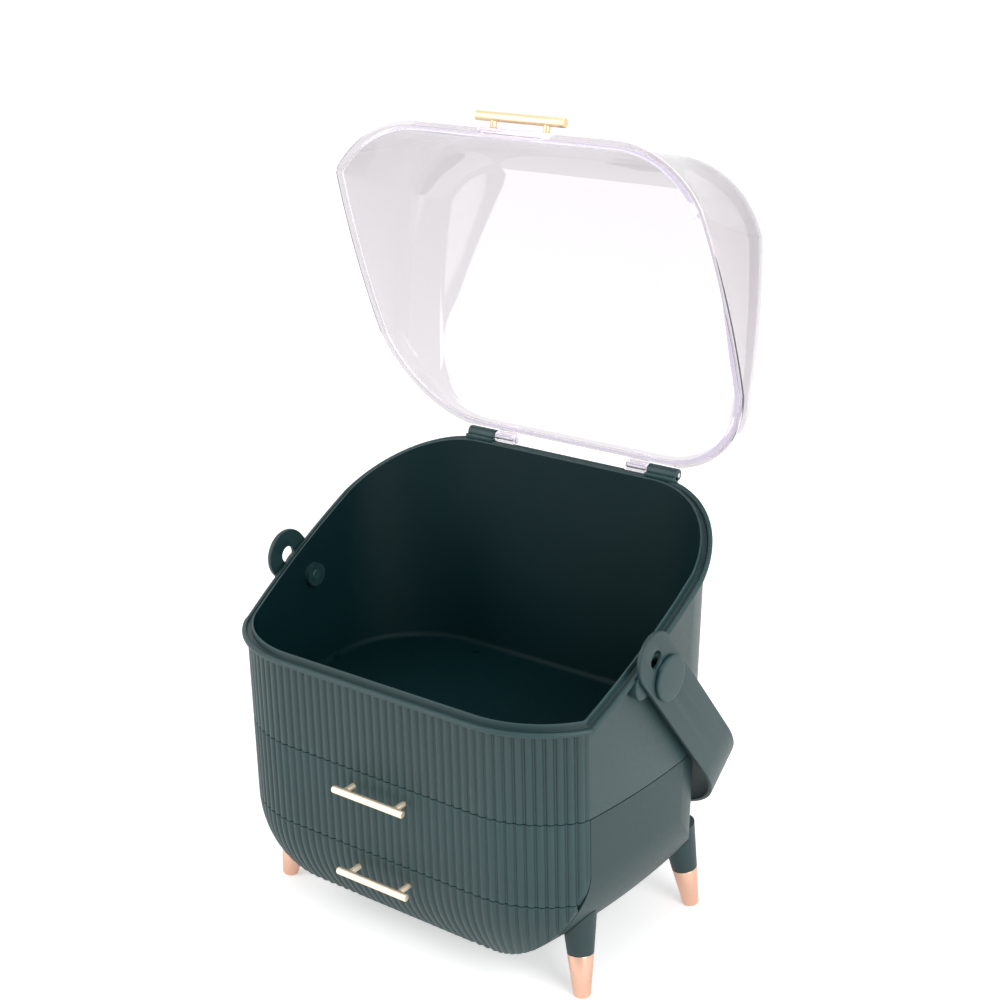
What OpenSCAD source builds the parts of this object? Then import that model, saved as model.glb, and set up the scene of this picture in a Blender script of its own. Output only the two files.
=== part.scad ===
/* [Body] */
// Greatest width across the bowed side walls
body_width = 280; // [270:1:290]
// Reach of the flat front ahead of the middle line
front_depth = 103; // [100:1:108]
// Reach of the rear wall behind the middle line, at rim height
rear_depth = 96; // [93:1:99]
// Distance from the widest side inwards to the end of the flat front
corner_reach = 65.5; // [64:0.5:67]
// Plan radius of the two front corners
front_corner_r = 71.3; // [70:0.1:73]
// Plan radius of the bowed side walls
side_bow_r = 530; // [500:5:600]
// Distance behind the middle line at which the body is widest
side_bow_y = 8; // [4:1:12]
// Plan radius of the two rear corners
rear_corner_r = 70; // [66:1:74]
// Forward lean of the rear wall towards its foot, in degrees
rear_lean = 4.2; // [3.6:0.1:4.8]
// Height of the lowest point of the body above the floor
bottom_z = 13; // [12:0.5:15]
// Radius of the rounded lower sides, seen from the front
side_curve_r = 67; // [64:1:69]
// Height at which the rounded lower sides begin
side_curve_z = 92; // [91:0.5:94]
// Radius with which the lower front rolls under
front_curve_r = 75; // [70:1:80]
// Wall of the lower casing
casing_wall = 2.6; // [2.2:0.1:2.8]
// Gap along the visible seams
seam_gap = 0.4; // [0.3:0.05:0.5]

/* [Ribs] */
// Distance from rib to rib
rib_pitch = 6.1; // [5.9:0.05:6.2]
// Radius of one rounded rib
rib_r = 3.3; // [3.1:0.1:3.6]
// Height of a rib above the face
rib_rise = 1.2; // [0.9:0.1:1.4]

/* [Bin] */
// Height of the seam between the casing and the bin
seam_z = 129.5; // [127:0.5:132]
// Thickness of the bin floor
bin_floor = 2.5; // [2:0.1:3]
// Wall of the bin
bin_wall = 3.4; // [3:0.1:3.6]
// Height of the front rim
rim_z = 190.5; // [188:0.5:192]
// Rise of the side rims towards the rear, in degrees
rim_slope = 27.5; // [27:0.1:28]
// Reach of the outer rim flange
flange_out = 4.5; // [4:0.1:4.7]
// Height of the outer rim flange
flange_h = 3; // [2.6:0.1:4]
// Thickness of the inner lip
lip_t = 1.4; // [1.2:0.1:1.6]
// Height of the inner lip above the rim
lip_h = 3; // [2:0.2:3.4]
// Depth of the groove between lip and flange
groove_d = 1.5; // [1:0.1:2]
// Width of the top face of the flange outside the groove
flange_edge = 2.9; // [2.5:0.1:3.2]

/* [Drawers] */
// Height of the seam between the two drawers
drawer_seam_z = 74; // [73:0.5:75]
// Thickness of the ribbed drawer fronts
drawer_front_t = 2.8; // [2.4:0.1:3.2]
// Wall of the drawer trays
tray_wall = 2; // [1.6:0.1:2.4]
// Side room between a tray and the inner face of the casing
tray_side_gap = 3.5; // [3.2:0.1:4]
// Rear end of the trays behind the middle line
tray_rear_y = 60; // [50:1:61]
// Floor height of the lower tray
lower_tray_z = 24; // [23:0.5:26]
// Thickness of the shelf between the drawers
shelf_t = 2.4; // [2:0.1:2.6]
// Room above and below a sliding tray
tray_gap = 0.5; // [0.3:0.1:0.8]
// Travel of each drawer
drawer_travel = 125; // [100:5:125]

/* [Pull bars] */
// Diameter of the drawer bars
bar_d = 4.8; // [4.4:0.1:5.2]
// Length of the drawer bars
bar_len = 56; // [50:1:62]
// Distance from the flat front to the middle of a bar
bar_reach = 11; // [10:0.5:13]
// Height of the upper bar
upper_bar_z = 118.7; // [115:0.5:120]
// Height of the lower bar
lower_bar_z = 60.9; // [58:0.5:63]
// Distance between the two posts of a drawer bar
bar_post_gap = 40; // [34:1:44]
// Diameter of the bar posts
bar_post_d = 3.6; // [3.2:0.1:4]
// Shank diameter of the small screws
screw_d = 2.4; // [2:0.1:2.6]
// Head diameter of the small screws
screw_head_d = 5; // [4.6:0.1:5]
// Head thickness of the small screws
screw_head_t = 1.6; // [1.2:0.1:1.8]
// Shank length of the screws that hold the bars
bar_screw_len = 8; // [6:0.5:9]
// Shank length of the screws that hold the bin
bin_screw_len = 20; // [16:1:22]
// Shank length of the screws that hold the legs
leg_screw_len = 16; // [14:1:17]

/* [Lid] */
// Angle to which the lid stands open
lid_open_angle = 98; // [95:0.5:100]
// Wall of the clear lid
lid_wall = 2; // [1.8:0.1:2.2]
// Height of the flat lid top when shut
lid_top_z = 285; // [284:0.5:287]
// Inward lean of the lid front over its height
lid_front_draft = 5.5; // [4:0.5:6]
// Radius of the upper front and side edges of the lid
lid_edge_r = 25; // [20:1:26]
// Radius of the upper rear edge of the lid
lid_rear_r = 6; // [4:0.5:6.5]
// Reach of the lid flange
lid_flange_out = 4; // [3.6:0.1:4.2]
// Height of the lid flange
lid_flange_h = 3; // [2.5:0.1:3.4]
// Diameter of the lid bar
lid_bar_d = 6; // [5.5:0.1:6.4]
// Length of the lid bar
lid_bar_len = 67; // [60:1:74]
// Distance between the two posts of the lid bar
lid_post_gap = 40; // [34:1:46]
// Diameter of the posts of the lid bar
lid_post_d = 4.4; // [4:0.1:5]
// Width of the pad under the posts of the lid bar
lid_pad_w = 50; // [48:1:56]

/* [Hinge] */
// Distance of the hinge axis behind the middle line
hinge_y = 103.5; // [103:0.1:104]
// Radius of the knuckles on the bin
knuckle_r = 4; // [3.8:0.1:4.1]
// Radius of the lugs on the lid
lug_r = 3.6; // [3.4:0.1:3.7]
// Distance from the middle to the inner end of a knuckle
knuckle_x = 62; // [60:1:64]
// Length of a knuckle
knuckle_len = 22; // [20:1:24]
// Length of a lid lug
lug_len = 16; // [14:1:18]
// Diameter of the hinge pins
hinge_pin_d = 3; // [2.6:0.1:3.2]

/* [Carry handle] */
// Distance of the handle pivot behind the middle line
pivot_y = -8.3; // [-10:0.1:-6]
// Height of the handle pivot
pivot_z = 200.7; // [199:0.1:202]
// Angle of the lowered handle below the horizontal, in degrees
handle_rest = 51.7; // [51:0.1:53]
// Width of the handle strap
strap_w = 34.4; // [33:0.2:36]
// Thickness of the handle strap
strap_t = 3; // [2.6:0.1:3.2]
// Gap between the rim flange and the inside of the arms
arm_gap = 0.5; // [0.4:0.1:0.8]
// Length of the strap ahead of the pivot, to the middle of its hole
arm_fore = 20.7; // [19:0.1:22]
// Diameter of the hole in the end of an arm
arm_hole_d = 11; // [9:0.5:12]
// Inner radius of the bends of the handle
bend_r = 73.8; // [70:0.2:76]
// Diameter of the round stud heads
stud_head_d = 29; // [26:0.5:30]
// Thickness of the stud heads
stud_head_t = 2.6; // [2:0.1:3]
// Diameter of the stud shanks
stud_d = 8; // [7:0.2:9]
// Diameter of the spacers behind the arms
spacer_d = 18; // [16:0.5:20]
// Diameter of the nuts inside the bin
nut_d = 16; // [14:0.5:17]
// Thickness of the nuts
nut_t = 4; // [3:0.2:5]

/* [Legs] */
// Distance of a foot inwards from the widest side
foot_side_in = 17.6; // [16:0.2:20]
// Distance of a front foot behind the flat front
foot_front_in = 40; // [38:0.5:42]
// Distance of a rear foot ahead of the rear wall at rim height
foot_rear_in = 33; // [31:0.5:35]
// Outward splay of a leg over its tip, in each direction
leg_splay = 3.4; // [3:0.1:3.8]
// Height of a metal tip
tip_h = 28.5; // [26:0.5:30]
// Diameter of a leg at the floor
foot_d = 11; // [10:0.5:12]
// Diameter of a leg at the upper end of its tip
joint_d = 16.8; // [16:0.2:18]
// Length of the spigot that joins a tip to its leg
spigot_h = 9; // [7:0.5:11]
// Diameter of that spigot
spigot_d = 8; // [7:0.5:9]

/* [Fits] */
// Radial room in a running or push fit
fit = 0.05; // [0.03:0.01:0.08]
// Room between parts that move past or rest near each other
near = 0.3; // [0.25:0.05:0.35]

/* [Hidden] */
big = body_width / 2 + 20;
top_z = 330;
corner_y = front_corner_r - front_depth;
bow_x = body_width / 2 - side_bow_r;
front_flat = body_width - 2 * corner_reach;
front_x = front_flat / 2;
front_curve_z = drawer_seam_z;
kink_dx = front_x - bow_x;
kink_dy = corner_y - side_bow_y;
kink_d = sqrt(kink_dx * kink_dx + kink_dy * kink_dy);
kink_a = (side_bow_r * side_bow_r - front_corner_r * front_corner_r + kink_d * kink_d) / (2 * kink_d);
kink_h = sqrt(side_bow_r * side_bow_r - kink_a * kink_a);
kink_x = bow_x + (kink_a * kink_dx + kink_h * kink_dy) / kink_d;
kink_y = side_bow_y + (kink_a * kink_dy - kink_h * kink_dx) / kink_d;
corner_sweep = atan2(kink_x - front_x, corner_y - kink_y);
flat_ribs = floor(front_x / rib_pitch);
corner_ribs = floor((front_x + front_corner_r * corner_sweep * PI / 180) / rib_pitch) - flat_ribs;
curve_x = kink_x - side_curve_r;
curve_drop = side_curve_z - bottom_z;
belly_r = (curve_x * curve_x + curve_drop * curve_drop - side_curve_r * side_curve_r)
  / (2 * (curve_drop - side_curve_r));
rear_half = body_width / 2 + 0.3;
rear_ref_z = 275;
rise = tan(rim_slope);
hinge_z = rim_z + (hinge_y - kink_y) * rise;
floor_z = seam_z + bin_floor;
lip_in = bin_wall - lip_t;
groove_out = flange_edge - flange_out;
shelf_z = drawer_seam_z - shelf_t / 2;
tray_in = casing_wall + tray_side_gap;
upper_tray_z = shelf_z + shelf_t + tray_gap;
upper_tray_top = seam_z - 3;
lower_tray_top = shelf_z - 1;
runner_top = lower_tray_z - tray_gap;
bar_y = -front_depth - bar_reach;
post_seat = 0.1;
lid_out = 0.6;
lid_bar_y = -front_depth - 10.5;
lid_bar_z = rim_z + 11;
arm_x = body_width / 2 + flange_out + arm_gap;
wall_x = round((bow_x + sqrt(pow(side_bow_r, 2) - pow(pivot_y - side_bow_y, 2))) * 100) / 100;
bend_x = arm_x + strap_t - bend_r - strap_t;
rear_tan = tan(rear_lean);
rest_cos = cos(handle_rest);
rest_sin = sin(handle_rest);
rest_low_z = pivot_z - 158 * rest_sin - strap_w / 2 * rest_cos;
rest_wall_y = rear_depth - (rear_ref_z - rest_low_z) * rear_tan;
bar_s = (rest_wall_y + near + 0.5 - pivot_y + strap_w / 2 * rest_sin) / rest_cos;
arm_len = round((bar_s - bend_r) * 100) / 100;
edge_wrap = 0.8;
foot_x = body_width / 2 - foot_side_in;
foot_front_y = foot_front_in - front_depth;
foot_y = rear_depth - foot_rear_in;
leg_slope = leg_splay / tip_h;
leg_grow = (joint_d - foot_d) / tip_h;
tilt = atan(sqrt(2) * leg_slope);
leg_out = foot_x - curve_x;
leg_wall_r = side_curve_r - casing_wall;
leg_mid = leg_out * leg_slope + side_curve_z;
leg_square = leg_out * leg_out + side_curve_z * side_curve_z - leg_wall_r * leg_wall_r;
leg_norm = 1 + leg_slope * leg_slope;
leg_wall_z = (leg_mid - sqrt(leg_mid * leg_mid - leg_norm * leg_square)) / leg_norm;
leg_screw_z = leg_wall_z / cos(tilt) - 0.2;
leg_len = leg_screw_z + 11;
post_x = 60;
post_y = 70;
post_d = 8;
lug_boss_w = 5;
lug_boss_x = body_width / 2 - bin_wall - screw_head_d / 2 - near;
lug_boss_y = side_bow_y;
lug_boss_h = 24;
rail_front_y = -50;
side_sector_in = side_bow_r - body_width - 50;
open_cos = cos(lid_open_angle);
open_sin = sin(lid_open_angle);
lid_edge_y = -front_depth - lid_out + lid_front_draft + lid_edge_r;
lid_edge_z = lid_top_z - lid_edge_r;
rear_reach = hinge_y + open_cos * (lid_edge_y - hinge_y) + open_sin * (lid_edge_z - hinge_z) + lid_edge_r;
front_reach = bar_reach + front_depth + bar_d / 2;
shift_y = (front_reach - rear_reach) / 2;
colour_body = [0.19, 0.27, 0.27];
colour_dark = [0.15, 0.21, 0.21];
colour_gold = [0.9, 0.76, 0.52];
colour_rose = [0.93, 0.72, 0.6];
colour_clear = [0.9, 0.92, 0.95, 0.35];
colour_steel = [0.72, 0.73, 0.75];
$fn = 96;

// Height of the bent rim surface at a given depth
function rim_at(y) = rim_z + max(0, y - kink_y) * rise;

// Inward step of a curve of radius r that starts at height z0
function step_in(z, z0, r) = r - sqrt(max(0, r * r - pow(max(0, z0 - z), 2)));

// Half width of the body at the kink edge, at a given height
function kink_half(z) = min(
  kink_x - step_in(z, side_curve_z, side_curve_r),
  sqrt(max(0, belly_r * belly_r - pow(bottom_z + belly_r - z, 2))) + (z > side_curve_z ? big : 0)
);

// Depth of the edge between the front and the side, at a given height
function edge_y(z) = corner_y - sqrt(
  pow(front_corner_r - step_in(z, front_curve_z, front_curve_r), 2)
  - pow(max(0, kink_half(z) - front_x), 2)
);

// Depth of a front face inset by i at height z
function face_y(z, i) = -front_depth + i + step_in(z, front_curve_z, front_curve_r - i);

module along_x(len) {
  rotate([90, 0, 90])
    translate([0, 0, -len / 2])
      linear_extrude(len)
        children();
}

module slab(lo, hi) {
  translate([-2 * big, -2 * big, lo])
    cube([4 * big, 4 * big, hi - lo]);
}

module front_outline(i) {
  r = front_corner_r - i;
  for (s = [-1, 1])
    translate([s * front_x, corner_y])
      circle(r);
  translate([-front_x, corner_y - r])
    square([front_flat, r + big]);
  translate([-front_x - r, corner_y])
    square([front_flat + 2 * r, big]);
}

module rib_circles() {
  for (k = [-flat_ribs : flat_ribs])
    translate([k * rib_pitch, -front_depth - rib_rise + rib_r])
      circle(rib_r, $fn = 32);
  for (s = [-1, 1])
    for (k = [1 : corner_ribs])
      translate([s * front_x, corner_y])
        rotate(s * corner_rib_angle(k))
          translate([0, -front_corner_r - rib_rise + rib_r])
            circle(rib_r, $fn = 32);
}

// Angle of a corner rib around the corner
function corner_rib_angle(k) = ((flat_ribs + k) * rib_pitch - front_x) / front_corner_r * 180 / PI;

module curved_rib() {
  rotate([90, 0, -90])
    translate([front_corner_r - front_curve_r, front_curve_z, 0])
      rotate([0, 0, -58])
        rotate_extrude(angle = 58)
          translate([front_curve_r + rib_rise - rib_r, 0])
            circle(rib_r, $fn = 32);
}

module curved_ribs() {
  for (k = [-flat_ribs : flat_ribs])
    translate([k * rib_pitch, corner_y, 0])
      curved_rib();
  for (s = [-1, 1])
    for (k = [1 : corner_ribs])
      translate([s * front_x, corner_y, 0])
        rotate([0, 0, s * corner_rib_angle(k)])
          curved_rib();
}

module roll_profile(i) {
  intersection() {
    translate([front_corner_r - front_curve_r, front_curve_z])
      circle(front_curve_r - i);
    square([front_corner_r + big, front_curve_z]);
  }
}

module front_form(i) {
  translate([0, 0, front_curve_z])
    linear_extrude(top_z - front_curve_z)
      front_outline(i);
  for (s = [-1, 1])
    translate([s * front_x, corner_y, 0])
      rotate_extrude()
        roll_profile(i);
  translate([0, corner_y, 0])
    rotate([90, 0, -90])
      translate([0, 0, -front_x])
        linear_extrude(front_flat)
          roll_profile(i);
  translate([-front_x - front_corner_r + i, corner_y, 0])
    cube([front_flat + 2 * (front_corner_r - i), big, front_curve_z]);
}

module side_profile(i) {
  r0 = side_sector_in;
  r_belly = side_bow_r - kink_x + (belly_r - i) * curve_x / (belly_r - side_curve_r);
  translate([r0, side_curve_z])
    square([side_bow_r - i - r0, top_z - side_curve_z]);
  translate([r0, 0])
    square([r_belly - r0, side_curve_z]);
  translate([side_bow_r - side_curve_r, side_curve_z])
    circle(side_curve_r - i);
}

module side_form(i) {
  intersection_for (s = [0, 1])
    mirror([s, 0, 0])
      translate([bow_x, side_bow_y, 0])
        rotate([0, 0, -30])
          rotate_extrude(angle = 60)
            side_profile(i);
}

module belly_form(i) {
  translate([0, 0, bottom_z + belly_r])
    rotate([90, 0, 0])
      cylinder(r = belly_r - i, h = 4 * big, center = true);
}

module rear_outline(i) {
  for (s = [-1, 1])
    translate([s * (rear_half - rear_corner_r), -rear_corner_r])
      circle(rear_corner_r - i);
  translate([-rear_half + rear_corner_r, -2 * big])
    square([2 * (rear_half - rear_corner_r), 2 * big - i]);
  translate([-rear_half + i, -2 * big])
    square([2 * (rear_half - i), 2 * big - rear_corner_r]);
}

module rear_form(i) {
  translate([0, rear_depth, rear_ref_z])
    rotate([-rear_lean, 0, 0])
      translate([0, 0, -rear_ref_z - 30])
        linear_extrude(top_z + 60)
          rear_outline(i);
}

module low_form(i) {
  intersection() {
    side_form(i);
    belly_form(i);
  }
}

module body_form(i) {
  intersection() {
    low_form(i);
    front_form(i);
    rear_form(i);
  }
}

module upper_form(i, lo) {
  intersection() {
    translate([0, 0, lo])
      linear_extrude(top_z - lo)
        front_outline(i);
    side_form(i);
    rear_form(i);
  }
}

module under_rim(lo, dz) {
  along_x(4 * big)
    polygon([
      [-big, lo], [big, lo], [big, rim_at(big) + dz], [kink_y, rim_z + dz], [-big, rim_z + dz]
    ]);
}

module rim_band(dlo, dhi) {
  along_x(4 * big)
    polygon([
      [-big, rim_z + dlo], [kink_y, rim_z + dlo], [big, rim_at(big) + dlo],
      [big, rim_at(big) + dhi], [kink_y, rim_z + dhi], [-big, rim_z + dhi]
    ]);
}

module ribbed_band(lo, hi) {
  intersection() {
    translate([0, 0, lo])
      linear_extrude(hi - lo)
        rib_circles();
    side_form(0);
  }
}

module side_cylinder(s, x0, x1, d) {
  translate([s * x0, pivot_y, pivot_z])
    rotate([0, s * 90, 0])
      cylinder(d = d, h = x1 - x0);
}

module hinge_cylinder(s, x0, len, r) {
  translate([s * x0, hinge_y, hinge_z])
    rotate([0, s * 90, 0])
      cylinder(r = r, h = len);
}

module knuckle(s) {
  x0 = s > 0 ? knuckle_x : -knuckle_x - knuckle_len;
  hinge_cylinder(s, knuckle_x, knuckle_len, knuckle_r);
  translate([x0, hinge_y - 4.5, hinge_z - 7])
    cube([knuckle_len, 4.5, 7]);
}

module bin_interior() {
  upper_form(bin_wall, floor_z);
}

module bin_walls() {
  intersection() {
    upper_form(0, seam_z + seam_gap / 2);
    under_rim(0, 0);
  }
  ribbed_band(seam_z + seam_gap / 2, rim_z - flange_h / 2);
  intersection() {
    upper_form(-flange_out, seam_z);
    rim_band(-flange_h, 0);
  }
  intersection() {
    upper_form(lip_in, seam_z);
    rim_band(-1, lip_h);
  }
  for (s = [-1, 1]) {
    knuckle(s);
    translate([s * (wall_x - 2), pivot_y - 21, pivot_z + 1])
      rotate([0, s * 90, 0])
        cylinder(d = 16, h = arm_x - near - wall_x + 2);
  }
}

module bin_cuts() {
  bin_interior();
  difference() {
    intersection() {
      upper_form(groove_out, seam_z);
      rim_band(-groove_d, lip_h + 1);
    }
    upper_form(lip_in, seam_z);
  }
  for (s = [-1, 1]) {
    hinge_cylinder(s, knuckle_x - lug_len - 0.8, lug_len + 0.8, lug_r + 0.7);
    hinge_cylinder(s, knuckle_x - 1, knuckle_len + 2, hinge_pin_d / 2 + fit);
    side_cylinder(s, wall_x - 9, wall_x + 2, stud_d + 2 * fit);
    translate([s * post_x, post_y, seam_z - 1])
      cylinder(d = screw_d + 2 * fit, h = 10);
    translate([s * lug_boss_x, lug_boss_y, seam_z - 1])
      cylinder(d = screw_d + 2 * fit, h = 10);
  }
}

module bin() {
  color(colour_body)
    difference() {
      bin_walls();
      bin_cuts();
    }
}

module u_outline(i) {
  r_side = side_curve_r - i;
  r_low = belly_r - i;
  x_tan = r_low * curve_x / (belly_r - side_curve_r);
  intersection() {
    translate([0, bottom_z + belly_r])
      circle(r_low);
    union() {
      translate([-kink_x + i, side_curve_z])
        square([2 * (kink_x - i), top_z - side_curve_z]);
      translate([-x_tan, 0])
        square([2 * x_tan, side_curve_z]);
      for (s = [-1, 1])
        translate([s * curve_x, side_curve_z])
          circle(r_side);
    }
  }
}

module u_form(i) {
  rotate([90, 0, 0])
    translate([0, 0, -big])
      linear_extrude(2 * big)
        u_outline(i);
}

module front_cut(back) {
  steps = 18;
  lo = bottom_z + 1;
  hi = side_curve_z;
  straight_z = side_curve_z - 1.3;
  along_x(4 * big)
    polygon(concat(
      [[-big, 0]],
      [for (k = [0 : steps - 1]) [
        edge_y(lo + (hi - lo) * k / steps) + edge_wrap + back,
        k == 0 ? 0 : lo + (hi - lo) * k / steps
      ]],
      [[kink_y + edge_wrap + back, straight_z], [kink_y + edge_wrap + back, top_z], [-big, top_z]]
    ));
}

module panel_zone(i, back) {
  difference() {
    front_cut(back);
    front_form(i);
  }
}

module casing_bores() {
  for (s = [-1, 1]) {
    translate([s * post_x, post_y, seam_z - 22])
      cylinder(d = screw_d + 2 * fit, h = 30);
    translate([s * lug_boss_x, lug_boss_y, seam_z - 22])
      cylinder(d = screw_d + 2 * fit, h = 30);
    for (t = [-1, 1])
      leg_place(s, t) {
        cylinder(d = screw_d + 2 * fit, h = leg_len);
        translate([0, 0, leg_screw_z])
          cylinder(d = screw_head_d + 2 * near, h = 8);
      }
  }
}

module casing_inside() {
  difference() {
    body_form(casing_wall);
    for (s = [-1, 1]) {
      translate([s * post_x, post_y, 0])
        cylinder(d = post_d, h = top_z);
      translate([s > 0 ? lug_boss_x - lug_boss_w / 2 : -big, lug_boss_y - lug_boss_w / 2, seam_z - lug_boss_h])
        cube([big - lug_boss_x + lug_boss_w / 2, lug_boss_w, top_z]);
      translate([s * post_x - 3, -60, 0])
        cube([6, 125, runner_top]);
    }
    intersection() {
      translate([-big, rail_front_y, shelf_z - near - 4])
        cube([2 * big, 95, 4]);
      difference() {
        slab(0, top_z);
        u_form(casing_wall + 0.6);
      }
    }
  }
}

// Way of the lower tray over the front edge of the casing
module tray_way() {
  intersection() {
    u_form(tray_in - tray_gap);
    translate([-big, -big, runner_top])
      cube([2 * big, big + rail_front_y, drawer_seam_z - runner_top]);
  }
}

module casing() {
  color(colour_dark)
    difference() {
      intersection() {
        body_form(0);
        slab(0, seam_z - seam_gap / 2);
      }
      casing_inside();
      tray_way();
      panel_zone(drawer_front_t + seam_gap, seam_gap);
      casing_bores();
    }
}

module drawer_shelf() {
  color(colour_dark)
    intersection() {
      body_form(casing_wall + near);
      slab(shelf_z, shelf_z + shelf_t);
      front_form(drawer_front_t + 1);
      translate([-big, -big, 0])
        cube([2 * big, big + post_y - post_d / 2 - 1, top_z]);
    }
}

module screw(len) {
  translate([0, 0, -screw_head_t])
    cylinder(d = screw_head_d, h = screw_head_t, $fn = 32);
  cylinder(d = screw_d, h = len, $fn = 32);
}

module bin_screws() {
  color(colour_steel)
    for (s = [-1, 1]) {
      translate([s * post_x, post_y, floor_z])
        rotate([180, 0, 0])
          screw(bin_screw_len);
      translate([s * lug_boss_x, lug_boss_y, floor_z])
        rotate([180, 0, 0])
          screw(bin_screw_len);
    }
}

module front_panel(lo, hi, bar_z) {
  difference() {
    intersection() {
      union() {
        body_form(0);
        intersection() {
          union() {
            if (hi > front_curve_z + 1)
              translate([0, 0, front_curve_z])
                linear_extrude(seam_z - front_curve_z)
                  rib_circles();
            if (lo < front_curve_z - 1)
              curved_ribs();
          }
          side_form(0);
          belly_form(0);
        }
      }
      slab(lo, hi);
      front_cut(0);
    }
    front_form(drawer_front_t);
    bar_bores(bar_z, bar_post_d + 2 * fit);
  }
}

module bar_bores(z, d) {
  for (s = [-1, 1])
    translate([s * bar_post_gap / 2, -front_depth + 25, z])
      rotate([90, 0, 0])
        cylinder(d = d, h = 40, $fn = 32);
}

module upper_drawer_front() {
  color(colour_body)
    front_panel(drawer_seam_z + seam_gap / 2, seam_z - seam_gap / 2, upper_bar_z);
}

module lower_drawer_front() {
  color(colour_body)
    front_panel(0, drawer_seam_z - seam_gap / 2, lower_bar_z);
}

module tray_block(i, front_i, lo, hi, rear_y) {
  intersection() {
    u_form(i);
    front_form(front_i);
    rear_form(casing_wall + 1.5 + i - tray_in);
    translate([-big, -big, lo])
      cube([2 * big, big + rear_y, hi - lo]);
  }
}

module tray(lo, hi, bar_z) {
  difference() {
    tray_block(tray_in, drawer_front_t, lo, hi, tray_rear_y);
    tray_block(tray_in + tray_wall, drawer_front_t + tray_wall, lo + tray_wall, hi + 1,
      tray_rear_y - tray_wall);
    bar_bores(bar_z, screw_d + 2 * fit);
  }
}

module upper_drawer_tray() {
  color(colour_dark)
    tray(upper_tray_z, upper_tray_top, upper_bar_z);
}

module lower_drawer_tray() {
  color(colour_dark)
    tray(lower_tray_z, lower_tray_top, lower_bar_z);
}

module pull_bar(y, z, d, len) {
  translate([-len / 2, y, z])
    rotate([0, 90, 0])
      cylinder(d = d, h = len, $fn = 48);
}

module bar_posts(z) {
  y0 = face_y(z + bar_post_d / 2, drawer_front_t) - post_seat;
  difference() {
    for (s = [-1, 1])
      translate([s * bar_post_gap / 2, y0, z])
        rotate([90, 0, 0])
          cylinder(d = bar_post_d, h = y0 - bar_y, $fn = 32);
    pull_bar(bar_y, z, bar_d, bar_len);
    for (s = [-1, 1])
      translate([s * bar_post_gap / 2, y0 + 1, z])
        rotate([90, 0, 0])
          cylinder(d = screw_d + 2 * fit, h = 8.5, $fn = 32);
  }
}

module bar_screws(z) {
  y0 = face_y(z - screw_head_d / 2, drawer_front_t + tray_wall) + near;
  for (s = [-1, 1])
    translate([s * bar_post_gap / 2, y0, z])
      rotate([90, 0, 0])
        screw(bar_screw_len);
}

module upper_drawer_bar() {
  color(colour_gold)
    pull_bar(bar_y, upper_bar_z, bar_d, bar_len);
}

module lower_drawer_bar() {
  color(colour_gold)
    pull_bar(bar_y, lower_bar_z, bar_d, bar_len);
}

module upper_bar_posts() {
  color(colour_gold)
    bar_posts(upper_bar_z);
}

module lower_bar_posts() {
  color(colour_gold)
    bar_posts(lower_bar_z);
}

module upper_bar_screws() {
  color(colour_steel)
    bar_screws(upper_bar_z);
}

module lower_bar_screws() {
  color(colour_steel)
    bar_screws(lower_bar_z);
}

module lid_profile(a0, a_top, r, i, inner) {
  z1 = lid_top_z - r;
  lean = (a0 - a_top) / (z1 - rim_z);
  polygon([
    [inner, rim_z - 20], [a0 - i + 20 * lean, rim_z - 20], [a_top - i, z1], [inner, z1]
  ]);
  translate([inner, z1 - 1])
    square([a_top - r - inner, r - i + 1]);
  translate([a_top - r, z1])
    circle(r - i);
}

module lid_front_form(i) {
  a0 = front_corner_r + lid_out;
  a1 = a0 - lid_front_draft;
  for (s = [-1, 1])
    translate([s * front_x, corner_y, 0])
      rotate_extrude()
        lid_profile(a0, a1, lid_edge_r, i, 0);
  translate([0, corner_y, 0])
    rotate([90, 0, -90])
      translate([0, 0, -front_x])
        linear_extrude(front_flat)
          lid_profile(a0, a1, lid_edge_r, i, 0);
  translate([-front_x - a0 - 10, corner_y, rim_z - 20])
    cube([front_flat + 2 * a0 + 20, big, lid_top_z - rim_z + 20 - i]);
  translate([-front_x, corner_y - 20, rim_z - 20])
    cube([front_flat, 30, lid_top_z - rim_z + 20 - i]);
}

module lid_side_form(i) {
  a0 = side_bow_r + lid_out;
  intersection_for (s = [0, 1])
    mirror([s, 0, 0])
      translate([bow_x, side_bow_y, 0])
        rotate([0, 0, -30])
          rotate_extrude(angle = 60)
            lid_profile(a0, a0, lid_edge_r, i, side_sector_in);
}

module lid_rear_form(i) {
  r = rear_corner_r + lid_out;
  cy = rear_depth - rear_corner_r;
  cx = rear_half - rear_corner_r;
  for (s = [-1, 1])
    translate([s * cx, cy, 0])
      rotate_extrude()
        lid_profile(r, r, lid_rear_r, i, 0);
  translate([0, cy, 0])
    rotate([90, 0, 90])
      translate([0, 0, -cx])
        linear_extrude(2 * cx)
          lid_profile(r, r, lid_rear_r, i, 0);
  translate([-cx - r - 10, cy - 2 * big, rim_z - 20])
    cube([2 * (cx + r) + 20, 2 * big, lid_top_z - rim_z + 20 - i]);
}

module lid_form(i) {
  intersection() {
    lid_front_form(i);
    lid_side_form(i);
    lid_rear_form(i);
  }
}

module lid_turn() {
  translate([0, hinge_y, hinge_z])
    rotate([-lid_open_angle, 0, 0])
      translate([0, -hinge_y, -hinge_z])
        children();
}

module over_rim(dz) {
  along_x(4 * big)
    polygon([
      [-big, rim_z + dz], [kink_y, rim_z + dz], [big, rim_at(big) + dz], [big, top_z + 60], [-big, top_z + 60]
    ]);
}

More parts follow.
